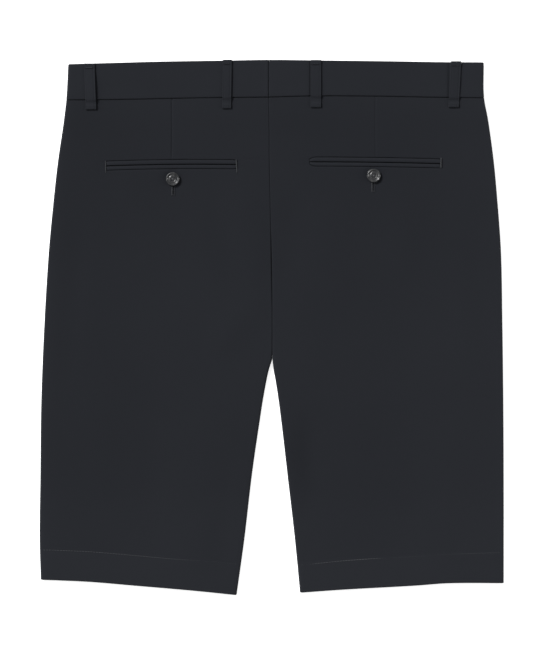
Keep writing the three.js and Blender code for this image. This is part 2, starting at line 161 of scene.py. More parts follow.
def leg_outline(name, direction, side, inseam, hem, grain):
    inseam_curve = through(inseam)

    def inner(y):
        return np.where(y > CROTCH, centre_seam(y) + direction * CLOSED_SEAM / 2, inseam_curve(y))

    curves = {"side": through(side), "hem": through(hem), "grain": through(grain)}
    return Sizes(name=name, direction=direction, inner=inner, **curves)


LEGS = (
    leg_outline("left", -1, SIDE_LEFT, INSEAM_LEFT, HEM_LEFT, GRAIN_LEFT),
    leg_outline("right", 1, SIDE_RIGHT, INSEAM_RIGHT, HEM_RIGHT, GRAIN_RIGHT),
)


def leg_at(x):
    return LEGS[0] if x < 0 else LEGS[1]


def across(leg, x, y):
    """0 at a leg's inner edge and 1 at its side."""
    return np.clip((x - leg.inner(y)) / (leg.side(y) - leg.inner(y)), 0, 1)


def front_dip(leg, x):
    return FRONT_DIP * (1 - across(leg, x, waist_seam(x)) ** 2)


def front_seam(leg, x):
    return waist_seam(x) - front_dip(leg, x)


def front_top(leg, x):
    return waist_top(x) - front_dip(leg, x)


def held(below):
    """How much the waistband holds a panel up, at a distance below the waist seam."""
    return 1 - ease(below, LIFT_FLAT, LIFT_FLAT + LIFT_FADE)


print("leg stack", LEG_STACK, "mm, waistband top", BAND_TOP, "mm")

# %% [markdown]
# ## Soft troughs and ridges
# Pressed suiting is never dead flat: it keeps long, very low waves where the cloth is pulled by a
# seam, a pocket or a dart. They could come from a cloth simulation, but a pressed garment at rest
# has already settled, and its few waves are known from looking at it. So each one is placed as a
# line with a width and a height that fade out at both ends.

# %% Where the pockets are
# The slit of each pocket: its middle, slope, arch and length, and how much it narrows at each end.
POCKETS = {
    "left": Sizes(x=-104.9, level=170.85, slope=0.0105, arch=0.00019, length=137.8, narrow=(0.0, 0.1)),
    "right": Sizes(x=109.3, level=173.05, slope=-0.0145, arch=0.0001, length=138.9, narrow=(0.45, 0.05)),
}
WELT = {"upper": 4.7, "lower": 4.5}  # height above and below the slit
WELT_END = 7.0  # length over which the welts draw together


def slit_height(pocket, dx):
    return pocket.level + pocket.slope * dx - pocket.arch * dx * dx


def drawn_in(pocket, dx):
    """Share of the full welt height at dx, which is smaller at the ends."""
    half = pocket.length / 2
    left, right = pocket.narrow
    at_left = left * np.clip(1 - (dx + half) / WELT_END, 0, 1) ** 2
    at_right = right * np.clip(1 - (half - dx) / WELT_END, 0, 1) ** 2
    return 1 - at_left - at_right


OPENING_CLEAR = {"upper": 0.6, "lower": 0.35}  # from a welt's outer edge to the cut edge of the back
POCKET_DIP = Sizes(deep=0.3, wide=1.4, above=0.2)  # the seam draws in the cloth, less above the opening


def opening_edges(pocket, dx):
    slit, share = slit_height(pocket, dx), drawn_in(pocket, dx)
    low, high = (WELT[part] * share + OPENING_CLEAR[part] for part in ("lower", "upper"))
    return slit - low, slit + high


def pocket_dip(leg, x, y):
    """How far the cloth is drawn in near the pocket opening."""
    pocket = POCKETS[leg.name]
    dx = x - pocket.x
    low, high = opening_edges(pocket, np.clip(dx, -pocket.length / 2, pocket.length / 2))
    aside = np.maximum(np.abs(dx) - pocket.length / 2 - SEAM_GAP, 0)
    away = np.hypot(aside, np.maximum(np.maximum(y - high, low - y), 0))
    drawn = POCKET_DIP.deep * (1 - ease(away, 0, POCKET_DIP.wide))
    return drawn * np.where(y > high, POCKET_DIP.above, 1)


print("pockets:", {name: pocket.length for name, pocket in POCKETS.items()})

# %% Waves of the back
# Each row: start x and y, end x and y, half width, height. Below zero is a trough.
BACK_WAVES = (
    (-30, 150, -12, 60, 20, 0.55),
    (-62, 140, -34, 20, 16, -0.35),
    (-20, 30, -60, -30, 15, 0.35),
    (-150, 150, -120, 60, 24, 0.30),
    (-200, 120, -214, -60, 12, -0.30),
    (-180, -60, -170, -230, 22, 0.35),
    (-90, -80, -75, -250, 26, 0.30),
    (-128, -100, -122, -240, 14, -0.25),
    (-45, -120, -52, -250, 10, -0.20),
    (28, 140, 12, 40, 16, -0.30),
    (55, 150, 60, 30, 22, 0.30),
    (20, 20, 58, -40, 16, 0.30),
    (150, 150, 130, 50, 26, 0.25),
    (212, 130, 222, -40, 12, -0.30),
    (190, -70, 184, -240, 22, 0.35),
    (100, -60, 90, -240, 28, 0.30),
    (36, -100, 44, -190, 12, -0.35),
    (140, -120, 146, -250, 12, -0.20),
    (-36, 176.5, -4, 175.5, 1.6, -0.08),
)
WAVE_STRENGTH = 1.8


def waves(x, y, rows):
    """The height that the rows of waves give at x, y."""
    total = np.zeros(np.broadcast(x, y).shape)
    for x0, y0, x1, y1, wide, high in rows:
        run = np.array([x1 - x0, y1 - y0], float)
        long = np.hypot(*run)
        along = ((x - x0) * run[0] + (y - y0) * run[1]) / long**2
        aside = ((x - x0) * run[1] - (y - y0) * run[0]) / long
        fade = np.exp(-(((along - 0.5) * 2) ** 4))
        total = total + high * np.exp(-((aside / wide) ** 2)) * fade
    return total * WAVE_STRENGTH


DARTS = {"left": Sizes(deep=0.5, step=0.06), "right": Sizes(deep=0.3, step=0.02)}
DART_LINE = Sizes(foot=177.5, fade=6, groove=0.7, step=6)  # it ends at the pocket


def dart_line(leg, x, y):
    """The fine groove of a dart, with one side pressed a little higher than the other."""
    size, aside = DARTS[leg.name], (x - leg.grain(y)) * leg.direction
    shown = ease(y, DART_LINE.foot - DART_LINE.fade, DART_LINE.foot + DART_LINE.fade)
    groove = size.deep * np.exp(-((aside / DART_LINE.groove) ** 2))
    step = size.step * np.exp(-np.abs(aside) / DART_LINE.step) * np.sign(aside) * ease(np.abs(aside), 0, 0.8)
    return shown * (step - groove)


def back_rest(leg, x, y):
    """Height of a back above the table, without the marks that its sewing leaves."""
    share = across(leg, x, y)
    below_crotch = 1 - ease(y, CROTCH - NEAR_CROTCH.below, CROTCH + NEAR_CROTCH.above)
    quiet = ease(1 - share, 0.0, QUIET.side) * blend(1, ease(share, 0, QUIET.inner), below_crotch)
    over_hem = HEM_SHOWS * (1 - ease(y - leg.hem(x), HEM_DEPTH - 2, HEM_DEPTH + 3)) * ease(share, 0, QUIET.hem)
    resting = PUFF * np.sin(np.pi * share) + waves(x, y, BACK_WAVES) * quiet
    resting = resting + over_hem * ease(1 - share, 0, QUIET.hem)
    return LEG_STACK + blend(resting, BACK_LIFT, held(waist_seam(x) - y))


def rest_at(x, y):
    """Height of the back under a single point."""
    return float(back_rest(leg_at(x), np.array(x), np.array(y)))


BUTTONS = {"left": (-103.5, 155.4), "right": (107.0, 159.0)}
BUTTON_DIP = Sizes(deep=0.7, flat=6.5, wide=12.0)  # the button pulls the cloth in round it


def button_dip(leg, x, y):
    button_x, button_y = BUTTONS[leg.name]
    away = np.hypot(x - button_x, y - button_y)
    return BUTTON_DIP.deep * (1 - ease(away, BUTTON_DIP.flat, BUTTON_DIP.wide))


def back_face(leg, x, y):
    """Height of the outer face of a back above the table."""
    tucked = TUCK.deep * (1 - ease(waist_seam(x) - y, -TUCK.under, TUCK.wide))
    return back_rest(leg, x, y) + dart_line(leg, x, y) - tucked - pocket_dip(leg, x, y) - button_dip(leg, x, y)


def front_face(leg, x, y):
    """Height of the outer face of a front, which rests on the table."""
    below = front_seam(leg, x) - y
    return PANEL_LIFT * held(below) + FRONT_TUCK.deep * (1 - ease(below, 0, FRONT_TUCK.wide))


print("waves on the back:", len(BACK_WAVES))

# %% [markdown]
# ## A way to write materials
# A material is a graph of nodes. Adding and linking each node by hand hides the idea behind it, so
# one small class wraps an output socket and lets Python's own operators add the Math nodes, and
# one method adds every other kind of node: its settings first, then its values and links.

# %% Shader arithmetic
class Reading:
    """An output socket that takes part in sums."""

    def __init__(self, finish, socket):
        self.finish, self.socket = finish, socket

    def sum(self, operation, *terms):
        return self.finish.node("ShaderNodeMath", {"operation": operation}, dict(enumerate(terms)))

    def __add__(self, other):
        return self.sum("ADD", self, other)

    def __sub__(self, other):
        return self.sum("SUBTRACT", self, other)

    def __rsub__(self, other):
        return self.sum("SUBTRACT", other, self)

    def __mul__(self, other):
        return self.sum("MULTIPLY", self, other)

    __radd__, __rmul__ = __add__, __mul__

    def sine(self):
        return self.sum("SINE", self)

    def size(self):
        return self.sum("ABSOLUTE", self)


class Finish:
    """A material with its Principled shader, and the method that adds nodes to it."""

    def __init__(self, name, **constants):
        self.material = bpy.data.materials.new(name)
        self.material.use_nodes = True
        self.tree = self.material.node_tree
        self.shader = self.tree.nodes["Principled BSDF"]
        for socket, value in constants.items():
            self.shader.inputs[socket.replace("_", " ")].default_value = value

    def node(self, kind, settings=None, inputs=None, output=0):
        made = self.tree.nodes.new(kind)
        for key, value in (settings or {}).items():
            if key == "stops":
                ramp = made.color_ramp.elements
                while len(ramp) < len(value):
                    ramp.new(0.5)
                for stop, (place, colour) in zip(ramp, value):
                    stop.position, stop.color = place, (*colour, 1)
            else:
                setattr(made, key, value)
        for key, value in (inputs or {}).items():
            self.feed(made.inputs[key], value)
        return Reading(self, made.outputs[output])

    def feed(self, socket, value):
        if isinstance(value, Reading):
            self.tree.links.new(value.socket, socket)
        else:
            socket.default_value = value

    def mix_colours(self, share, first, second):
        inputs = {0: share, 6: (*first, 1) if isinstance(first, tuple) else first}
        inputs[7] = (*second, 1) if isinstance(second, tuple) else second
        return self.node("ShaderNodeMix", {"data_type": "RGBA"}, inputs, output=2)

    def place(self, scale=(1, 1, 1), turn=0.0):
        """The place on the object, in metres, stretched and turned."""
        where = self.node("ShaderNodeTexCoord", output="Object")
        return self.node("ShaderNodeMapping", {}, {"Vector": where, "Scale": scale, "Rotation": (0, 0, turn)})

    def parts(self, place):
        split = self.node("ShaderNodeSeparateXYZ", {}, {0: place})
        return [Reading(self, socket) for socket in split.socket.node.outputs]

    def noise(self, place, scale, detail=2.0, roughness=0.5):
        inputs = {"Vector": place, "Scale": scale, "Detail": detail, "Roughness": roughness}
        return self.node("ShaderNodeTexNoise", {}, inputs)

    def relief(self, height, strength, distance):
        inputs = {"Height": height, "Strength": strength, "Distance": distance}
        self.feed(self.shader.inputs["Normal"], self.node("ShaderNodeBump", {}, inputs))

    def colour(self, colour):
        self.feed(self.shader.inputs["Base Color"], colour)


print("shader arithmetic is ready")

# %% [markdown]
# ## Suiting
# The cloth is a fine, tightly woven wool-and-cotton suiting: matt, nearly black, with a hint of
# blue. A picture of a weave would tile and blur. Sums on the place give real threads at their real
# pitch instead: warp and weft waves that take turns along twill diagonals. Streaky noise tints
# single yarns, and a very large noise gives the uneven tone that pressing leaves.

# %% Suiting material
THREAD = 0.00034  # metres from one yarn to the next
CHARCOAL = (0.0085, 0.0097, 0.0131)
CHARCOAL_LIGHT = (0.0132, 0.0147, 0.0188)
PAINTED_LIGHT = 0.42  # how much lighter the painted light makes the cloth, where a piece's marks are high
TONE = Sizes(yarns=0.45, slubs=0.30, pressed=0.45, weave=0.12, darker=0.67)


def suiting(name, turn=0.0, light=1.0, evenly=0.0):
    """Suiting, lightened and darkened by painted light and shade as the piece's marks say, or evenly where it
    has none.
    """
    finish = Finish(name, Roughness=0.88, Specular_IOR_Level=0.18, Sheen_Weight=0.05, Sheen_Roughness=0.45)
    place = finish.place(turn=turn)
    x, y, _ = finish.parts(place)
    warp = (x * (math.pi / THREAD)).sine().size()
    weft = (y * (math.pi / THREAD)).sine().size()
    turns = ((x + y) * (math.pi / (2 * THREAD))).sine().size()
    weave = warp * turns + weft * (1 - turns)
    yarns = finish.noise(finish.place((1, 0.12, 1), turn), 2600, 3.0, 0.6)
    slubs = finish.noise(finish.place((0.14, 1, 1), turn), 1700, 2.0)
    pressed = finish.noise(place, 9, 3.0, 0.45)
    # The marks carry painted light and shade: painted highlights along the side edges and over the hem, a
    # painted gradient down and across the legs, painted shade at the inseam.
    painted_tone = finish.node("ShaderNodeAttribute", {"attribute_name": "press"}, output="Fac")
    tone = yarns * TONE.yarns + slubs * TONE.slubs + pressed * TONE.pressed + weave * TONE.weave
    tone = tone + (painted_tone + evenly) * PAINTED_LIGHT - TONE.darker
    dark = tuple(value * light for value in CHARCOAL)
    pale = tuple(value * light for value in CHARCOAL_LIGHT)
    finish.colour(finish.mix_colours(tone, dark, pale))
    finish.relief(weave * 0.7 + yarns * 0.5, 0.35, 0.00007)
    return finish.material


cloth_of_legs = suiting("suiting")
cloth_of_band = suiting("suiting_waistband", turn=math.pi / 2, light=1.03, evenly=1.0)
cloth_of_loops = suiting("suiting_trim", light=1.05, evenly=1.0)
print("suiting:", [material.name for material in (cloth_of_legs, cloth_of_band, cloth_of_loops)])

# %% [markdown]
# ## Thread and horn
# Sewing thread is a touch lighter and shinier than the cloth, with a twist that shows as slanted
# bands. The buttons are imitation horn: polished, dark grey, with slow pale swirls. A glossy
# coat would hide the swirl, so the gloss comes from a low roughness alone.

# %% Thread and horn materials
TWIST = 0.0003  # metres from one turn of the thread to the next


def thread(name, dark, pale):
    finish = Finish(name, Roughness=0.6, Specular_IOR_Level=0.25, Sheen_Weight=0.05)
    place = finish.place()
    x, y, z = finish.parts(place)
    twist = ((x + y + z) * (math.pi / TWIST)).sine().size()
    fibre = finish.noise(place, 3000)
    finish.colour(finish.mix_colours(twist * 0.6 + fibre * 0.4, dark, pale))
    finish.relief(twist + fibre * 0.5, 0.3, 0.00004)
    return finish.material


def horn(name):
    finish = Finish(name, Specular_IOR_Level=0.6)
    swirl = finish.noise(finish.place((1, 0.35, 1), 0.6), 260, 4.0, 0.6)
    stops = [(0.3, (0.010, 0.011, 0.013)), (0.55, (0.027, 0.028, 0.030)), (0.75, (0.068, 0.067, 0.065))]
    finish.colour(finish.node("ShaderNodeValToRGB", {"stops": stops}, {0: swirl}))
    scuffs = finish.noise(finish.place(), 1500, 3.0)
    finish.feed(finish.shader.inputs["Roughness"], scuffs * 0.16 + 0.20)
    finish.relief(scuffs, 0.12, 0.00003)
    return finish.material


seam_thread = thread("seam_thread", (0.008, 0.0095, 0.013), (0.014, 0.0155, 0.020))
hem_thread = thread("hem_thread", (0.038, 0.040, 0.044), (0.078, 0.080, 0.086))
tack_thread = thread("tack_thread", (0.018, 0.020, 0.024), (0.036, 0.038, 0.042))
button_horn = horn("button_horn")
print("thread and horn are ready")

# %% [markdown]
# ## From points to a solid
# Every cloth piece here is a loft: rings of points laid side by side, each running out along one
# face of the cloth and back along the other. Blender could thicken a plain grid with Solidify, but
# then the turned-up hem and the rolled edges would need their own tricks. Rings carry both faces
# from the start, so the result is closed and its wall is known everywhere.

# %% Loft helpers
def loft(rings):
    """Points and faces of a closed solid from rings whose second half runs back beside the first."""
    rings = np.asarray(rings, float)
    count, size = rings.shape[:2]
    here = np.arange(size)
    there = (here + 1) % size
    faces, last = [], (count - 1) * size
    for start in range(0, last, size):
        faces += np.stack([start + here, start + there, start + size + there, start + size + here], 1).tolist()
    for k in range(size // 2 - 1):
        cap = [k, k + 1, size - 2 - k, size - 1 - k]
        faces += [cap[::-1], [last + point for point in cap]]
    return rings.reshape(-1, 3), faces


def xyz(x, y, z):
    """Rows of points, where a single value holds for all of them."""
    return np.stack(np.broadcast_arrays(x, y, z), 1)


def points_of(mesh):
    """The points of a mesh as rows of (x, y, z), in metres."""
    points = np.zeros(len(mesh.vertices) * 3)
    mesh.vertices.foreach_get("co", points)
    return points.reshape(-1, 3)


def closed_mesh(name, shape):
    """A mesh from a closed shape in millimetres, with its faces turned outwards."""
    mesh = bpy.data.meshes.new(name)
    mesh.from_pydata((np.asarray(shape[0]) * MM).tolist(), [], shape[1])
    mesh.calc_loop_triangles()
    corners = np.zeros(len(mesh.loop_triangles) * 3, np.int32)
    mesh.loop_triangles.foreach_get("vertices", corners)
    a, b, c = points_of(mesh)[corners.reshape(-1, 3)].transpose(1, 0, 2)
    if np.einsum("ij,ij->i", a, np.cross(b, c)).sum() < 0:
        mesh.flip_normals()
    return mesh


def put(name, data):
    """A new object of the scene, which holds the data."""
    thing = bpy.data.objects.new(name, data)
    bpy.context.collection.objects.link(thing)
    return thing


SHARP = 42  # degrees between two faces from which their edge stays crisp


def finish_shading(piece, sharp=SHARP):
    piece.data.polygons.foreach_set("use_smooth", [True] * len(piece.data.polygons))
    piece.data.set_sharp_from_angle(angle=math.radians(sharp))


def report_piece(piece):
    triangles = sum(len(face.vertices) - 2 for face in piece.data.polygons)
    print(f"{piece.name}: {triangles} triangles, {[round(v / MM, 1) for v in piece.dimensions]} mm")


def add_piece(name, shape, material, node=None, sharp=SHARP):
    """A piece of the garment: it rides on the body, and may stand for a node of the frame."""
    piece = put(name, closed_mesh(name, shape))
    piece.data.materials.append(material)
    finish_shading(piece, sharp)
    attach(piece, "root")
    if node:
        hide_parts(node)
    report_piece(piece)
    return piece


def arc(centre, radius, start, end, steps):
    """Rows of points on an arc, with angles in degrees."""
    angle = np.radians(np.linspace(start, end, steps + 1))
    return np.stack([centre[0] + radius * np.cos(angle), centre[1] + radius * np.sin(angle)], 1)


print("loft helpers are ready")

# %% [markdown]
# ## Backs and fronts
# Each leg is a back and a front, sewn at the side and at the inseam and pressed so that the seams
# roll over the edge. The cloth goes down to the hem, folds, and comes up again inside by 31 mm. The
# columns of the mesh follow the dart line and the rows are closest where something happens: at
# the waist seam, round the pocket, at the crotch and at the hem stitching.

# %% Columns and rows of a panel
ROLL_STEPS = 8
GRAIN_OFFSETS = (-4.0, -2.5, -1.5, -0.9, -0.45, 0.0, 0.45, 0.9, 1.5, 2.5, 4.0)
GRAIN_CLEAR = 6.0  # from the dart line to the wider columns beside it
SIDE_COLUMNS = 22
COLUMNS = (
    [("roll_inner", step) for step in range(ROLL_STEPS)]
    + [("inner", share) for share in np.linspace(0, 1, SIDE_COLUMNS)]
    + [("grain", offset) for offset in GRAIN_OFFSETS]
    + [("outer", share) for share in np.linspace(0, 1, SIDE_COLUMNS)]
    + [("roll_side", step) for step in reversed(range(ROLL_STEPS))]
)
REFERENCE_LENGTH = 516.0
# Shares of a panel's length, from distances below the waist seam on a panel of that length.
ROWS = np.unique(
    np.concatenate([
        [0, 0.25, 0.5, 0.75, 1.0, 1.25, 1.6, 2.2, 4, 6.5, 9, 11.5],
        np.arange(14, 56, 3),
        np.arange(56, 62, 1.0),
        np.arange(62, 80, 0.5),
        np.arange(80, 84, 1.0),
        np.arange(84, 250, 5.5),
        np.arange(250, 300, 3.0),
        np.arange(300, 474, 6.0),
        np.arange(474, 494, 1.0),
        np.arange(494, REFERENCE_LENGTH, 4.0),
        [REFERENCE_LENGTH],
    ])
) / REFERENCE_LENGTH
HEM_FOLD = (2 * CLOTH + SEAM_GAP) / 2  # outer radius of the fold at the foot of a leg
HEM_FOLD_STEPS = 8
print("columns", len(COLUMNS), "rows", len(ROWS))

# %% Where a column of a panel lies
SEAM_GROOVE = through(((240, 0.5), (160, 0.6), (105, 0.75), (85, 1.5), (40, 1.5), (22, 0.85), (-34, 0.85)))
ROLL_STARTS = Sizes(below=4, above=10)  # round the crotch, the flat seat seam turns into the rolled inseam
SEAM_EDGE = Sizes(wide=0.7, with_depth=0.5)  # a panel's edge dips into the seat seam, wider where it is deep


def column_place(leg, column, y):
    """x of a column at y, how far it lies below the outer face, and its normal in x and z."""
    kind, value = column
    inner, side, away = leg.inner(y), leg.side(y), leg.direction
    if kind.startswith("roll"):
        at_side = kind == "roll_side"
        rolled = 1.0 if at_side else 1 - ease(y, CROTCH - ROLL_STARTS.below, CROTCH + ROLL_STARTS.above)
        angle = value / ROLL_STEPS * math.pi / 2
        sideways, up = rolled * math.cos(angle), blend(1, math.sin(angle), rolled)
        length = np.hypot(sideways, up)
        inset = EDGE_ROLL * blend(value / ROLL_STEPS, 1 - math.cos(angle), rolled)
        drop = EDGE_ROLL * rolled * (1 - math.sin(angle))
        if at_side:
            return side - away * inset, drop + y * 0, away * sideways / length, up / length
        groove = SEAM_GROOVE(y)
        dip = np.clip(1 - inset / (SEAM_EDGE.wide + SEAM_EDGE.with_depth * groove), 0, 1) ** 2 * groove
        return inner + away * inset, drop + dip * (1 - rolled), -away * sideways / length, up / length
    grain = leg.grain(y)
    if kind == "inner":
        x = blend(inner + away * EDGE_ROLL, grain - away * GRAIN_CLEAR, value)
    elif kind == "grain":
        x = grain + away * value
    else:
        x = blend(grain + away * GRAIN_CLEAR, side - away * EDGE_ROLL, value)
    return x, y * 0, y * 0, y * 0 + 1


def meet(leg, column, edge):
    """y where a column meets an edge that is given as y over x."""
    y = edge(leg.inner(np.array(0.0)))
    for _ in range(6):
        y = edge(column_place(leg, column, y)[0])
    return float(y)


def layer(top, hem, deep):
    """Rows of (y, depth) along a panel: down one side of its cloth, round the hem and up inside."""
    down = np.stack([blend(top, hem + HEM_FOLD, ROWS), np.full(len(ROWS), deep)], 1)
    turn = arc((hem + HEM_FOLD, HEM_FOLD), HEM_FOLD - deep, -90, -270, HEM_FOLD_STEPS)[1:]
    up = [(hem + share * HEM_DEPTH, 2 * HEM_FOLD - deep) for share in (0.25, 0.5, 0.75, 1.0)]
    return np.concatenate([down, turn, up])


def panel(leg, face_up):
    """One leg panel. face_up is 1 for a back and -1 for a front."""
    seam = waist_seam if face_up > 0 else lambda x: front_seam(leg, x)
    face = back_face if face_up > 0 else front_face
    rings = []
    for column in COLUMNS:
        top, hem = meet(leg, column, seam) + TUCK.under * face_up, meet(leg, column, leg.hem)
        y, deep = np.concatenate([layer(top, hem, 0.0), layer(top, hem, CLOTH)[::-1]]).T
        x, drop, nx, nz = column_place(leg, column, y)
        z = face(leg, x, y) - face_up * (drop + deep * nz)
        rings.append(xyz(x - deep * nx, y, z))
    return loft(rings)


print("depth of the seat seam:", round(float(SEAM_GROOVE(np.arange(CROTCH, 240)).max()), 2), "mm")

# %% Painted light and shade of the legs
PAINTED_SIDE_HIGHLIGHT = Sizes(wide=14.0, much=0.4)  # painted highlight beside a rolled side edge, where it catches the light
# Painted light and shade down the legs and across them: rows of (y or x, amount), where 0 is the
# common finish, above zero is painted light and below it painted shade. It is lighter towards the
# hems and darker below the waist. The marks have 1 added.
PAINTED_LIGHT_DOWN = through((
    (281, 0.1), (238, -0.15), (225, -0.28), (105, -0.28), (60, -0.1), (10, 0.05), (-100, 0.0), (-165, 0.1),
    (-200, 0.5), (-240, 0.6),
))
PAINTED_LIGHT_ACROSS = through((
    (-243, -0.2), (-190, -0.35), (-150, -0.15), (-80, 0.15), (-20, 0.12), (30, -0.05), (100, -0.12), (170, 0.1),
    (205, 0.3), (243, 0.25),
))
PAINTED_INSEAM_SHADE = Sizes(x=28, y=-128, wide=14, long=42, much=0.7)  # painted shade where the right leg's inner edge rolls away from the light


def paint_light_and_shade(piece, leg):
    """Notes on each point its painted light and shade: a painted highlight over the hem and along the side
    edges, painted shade at the right inseam, and a painted gradient down and across the legs.
    """
    x, y, _ = points_of(piece.data).T / MM
    hem = 1 - ease(y - leg.hem(x), HEM_DEPTH - 2, HEM_DEPTH + 2)
    side = PAINTED_SIDE_HIGHLIGHT.much * (1 - ease(np.abs(leg.side(y) - x), 0, PAINTED_SIDE_HIGHLIGHT.wide))
    aside, along = (x - PAINTED_INSEAM_SHADE.x) / PAINTED_INSEAM_SHADE.wide, (y - PAINTED_INSEAM_SHADE.y) / PAINTED_INSEAM_SHADE.long
    inseam_shade = PAINTED_INSEAM_SHADE.much * np.exp(-aside * aside - along * along)
    painted_tone = blend(PAINTED_LIGHT_DOWN(y) + PAINTED_LIGHT_ACROSS(x) + side - inseam_shade, 1, hem)
    piece.data.attributes.new("press", "FLOAT", "POINT").data.foreach_set("value", 1 + painted_tone)


panels = {}
for leg in LEGS:
    for face_up, part in ((1, "back"), (-1, "front")):
        name = f"{part}_{leg.name}"
        panels[name] = add_piece(name, panel(leg, face_up), cloth_of_legs, f"{part}_panel_{leg.name}")
        # painted light and shade, kept on the points of each leg panel
        paint_light_and_shade(panels[name], leg)

# %% [markdown]
# ## Pocket openings
# A jetted pocket is a cut in the back, filled by two narrow welts whose folds meet in a slit. The
# opening is cut with a Boolean, as a tailor cuts it with scissors, because a grid that bends round
# it would disturb the quiet cloth beside it. The welts draw together a little at their ends.

# %% Pocket openings
CUT_FROM, CUT_TO = 3.9, 9.0  # heights between which the back is cut, clear of the front below


def opening(pocket):
    half = pocket.length / 2 + SEAM_GAP
    dx = np.concatenate([np.linspace(-half, -half + WELT_END, 8), np.linspace(-half + WELT_END, half, 40)[1:]])
    low, high = opening_edges(pocket, dx)
    return loft([
        [(x, bottom, CUT_FROM), (x, top, CUT_FROM), (x, top, CUT_TO), (x, bottom, CUT_TO)]
        for x, bottom, top in zip(pocket.x + dx, low, high)
    ])


def cut(piece, shape):
    """Cuts a closed shape out of a piece."""
    cutter = put("cutter", closed_mesh("cutter", shape))
    modifier = piece.modifiers.new("cut", "BOOLEAN")
    modifier.operation, modifier.solver, modifier.object = "DIFFERENCE", "MANIFOLD", cutter
    done = bpy.data.meshes.new_from_object(piece.evaluated_get(bpy.context.evaluated_depsgraph_get()))
    piece.modifiers.clear()
    piece.data = done
    bpy.data.objects.remove(cutter)


for side, pocket in POCKETS.items():
    cut(panels[f"back_{side}"], opening(pocket))
    finish_shading(panels[f"back_{side}"])
    report_piece(panels[f"back_{side}"])

# %% Welts
# Where a welt starts and ends from the slit, and how far it stands out.
WELTS = {
    "upper": {"start": 0.3, "end": WELT["upper"], "proud": 0.5},
    "lower": {"start": -WELT["lower"], "end": -0.55, "proud": 0.25},
}
WELT_PADDING = 0.5  # the allowance inside a welt makes it thicker
WELT_CROWN = 0.3  # and higher in its middle
WELT_SINK = Sizes(long=2.8, deep=0.8)  # a welt's end goes under the cloth
WELT_RINGS = 90


def strip_section(bottom, top, thick, steps=6, inner=5):
    """A pressed strip in (across, deep): its face from bottom to top, then its back."""
    r = thick / 2
    face = np.stack([np.linspace(bottom + r, top - r, inner + 2)[1:-1], np.zeros(inner)], 1)
    back = np.stack([face[::-1, 0], np.full(inner, thick)], 1)
    low, high = (bottom + r, r), (top - r, r)
    return np.concatenate([
        arc(low, r, 180, 270, steps), face, arc(high, r, 270, 360, steps),
        arc(high, r, 0, 90, steps)[1:], back, arc(low, r, 90, 180, steps)[:-1],
    ])


def welt(pocket, start, end, proud):
    """One welt, between two distances from the slit."""
    half, rings = pocket.length / 2, []
    for dx in np.linspace(-half, half, WELT_RINGS):
        share, slit, x = drawn_in(pocket, dx), slit_height(pocket, dx), pocket.x + dx
        sunk = WELT_SINK.deep * (1 - ease(half - abs(dx), 0, WELT_SINK.long))
        bottom, head = slit + start * share, slit + end * share
        section = strip_section(bottom, head, CLOTH + WELT_PADDING)
        crown = WELT_CROWN * np.cos((section[:, 0] - (bottom + head) / 2) / (head - bottom) * math.pi)
        top = rest_at(x, slit) + proud - sunk - WELT_CROWN
        z = top - section[:, 1] + crown * (section[:, 1] < 0.5)
        rings.append(xyz(x, section[:, 0], z))
    return loft(rings)


for side, pocket in POCKETS.items():
    for part, size in WELTS.items():
        name = f"welt_{part}_{side}"
        add_piece(name, welt(pocket, **size), cloth_of_loops, f"pocket_{name}")

# %% [markdown]
# ## Waistband
# The waistband is cut in two halves that meet at the centre back. It is two layers with a
# stiffener, so it stays straight and stands a little proud of the panels. A sweep along a curve
# would do for one height, but the front dips below the back, so each ring is worked out.

# %% Waistband halves
# Each row: start x and y, end x and y, half width, height.
BAND_WAVES = (
    (-150, 262, -80, 258, 8, 0.14), (-30, 268, -75, 262, 6, -0.12), (-205, 250, -170, 262, 7, 0.12),
    (80, 262, 150, 256, 8, 0.14), (10, 250, 38, 262, 6, -0.12), (172, 262, 205, 254, 7, -0.12),
)
# Where the cloth sinks in beside a loop: place, half width and depth.
BESIDE_LOOPS = ((40.7, 0.8, 0.6), (186.0, 1.5, 0.5))
BAND_SEAM = Sizes(deep=0.9, wide=1.0)  # the groove of the centre seam
BAND_RIDGE = Sizes(from_seam=2.2, wide=0.9, high={"left": 0.16, "right": 0.0})  # the allowance beside it
# Distances from the centre seam where rings lie close, and the number of even ones and of ones round the side.
BAND_CLOSE = (0, 0.2, 0.45, 0.75, 1.1, 1.6, 2.2, 2.8, 3.5)
BAND_RINGS = Sizes(even=68, side=15)


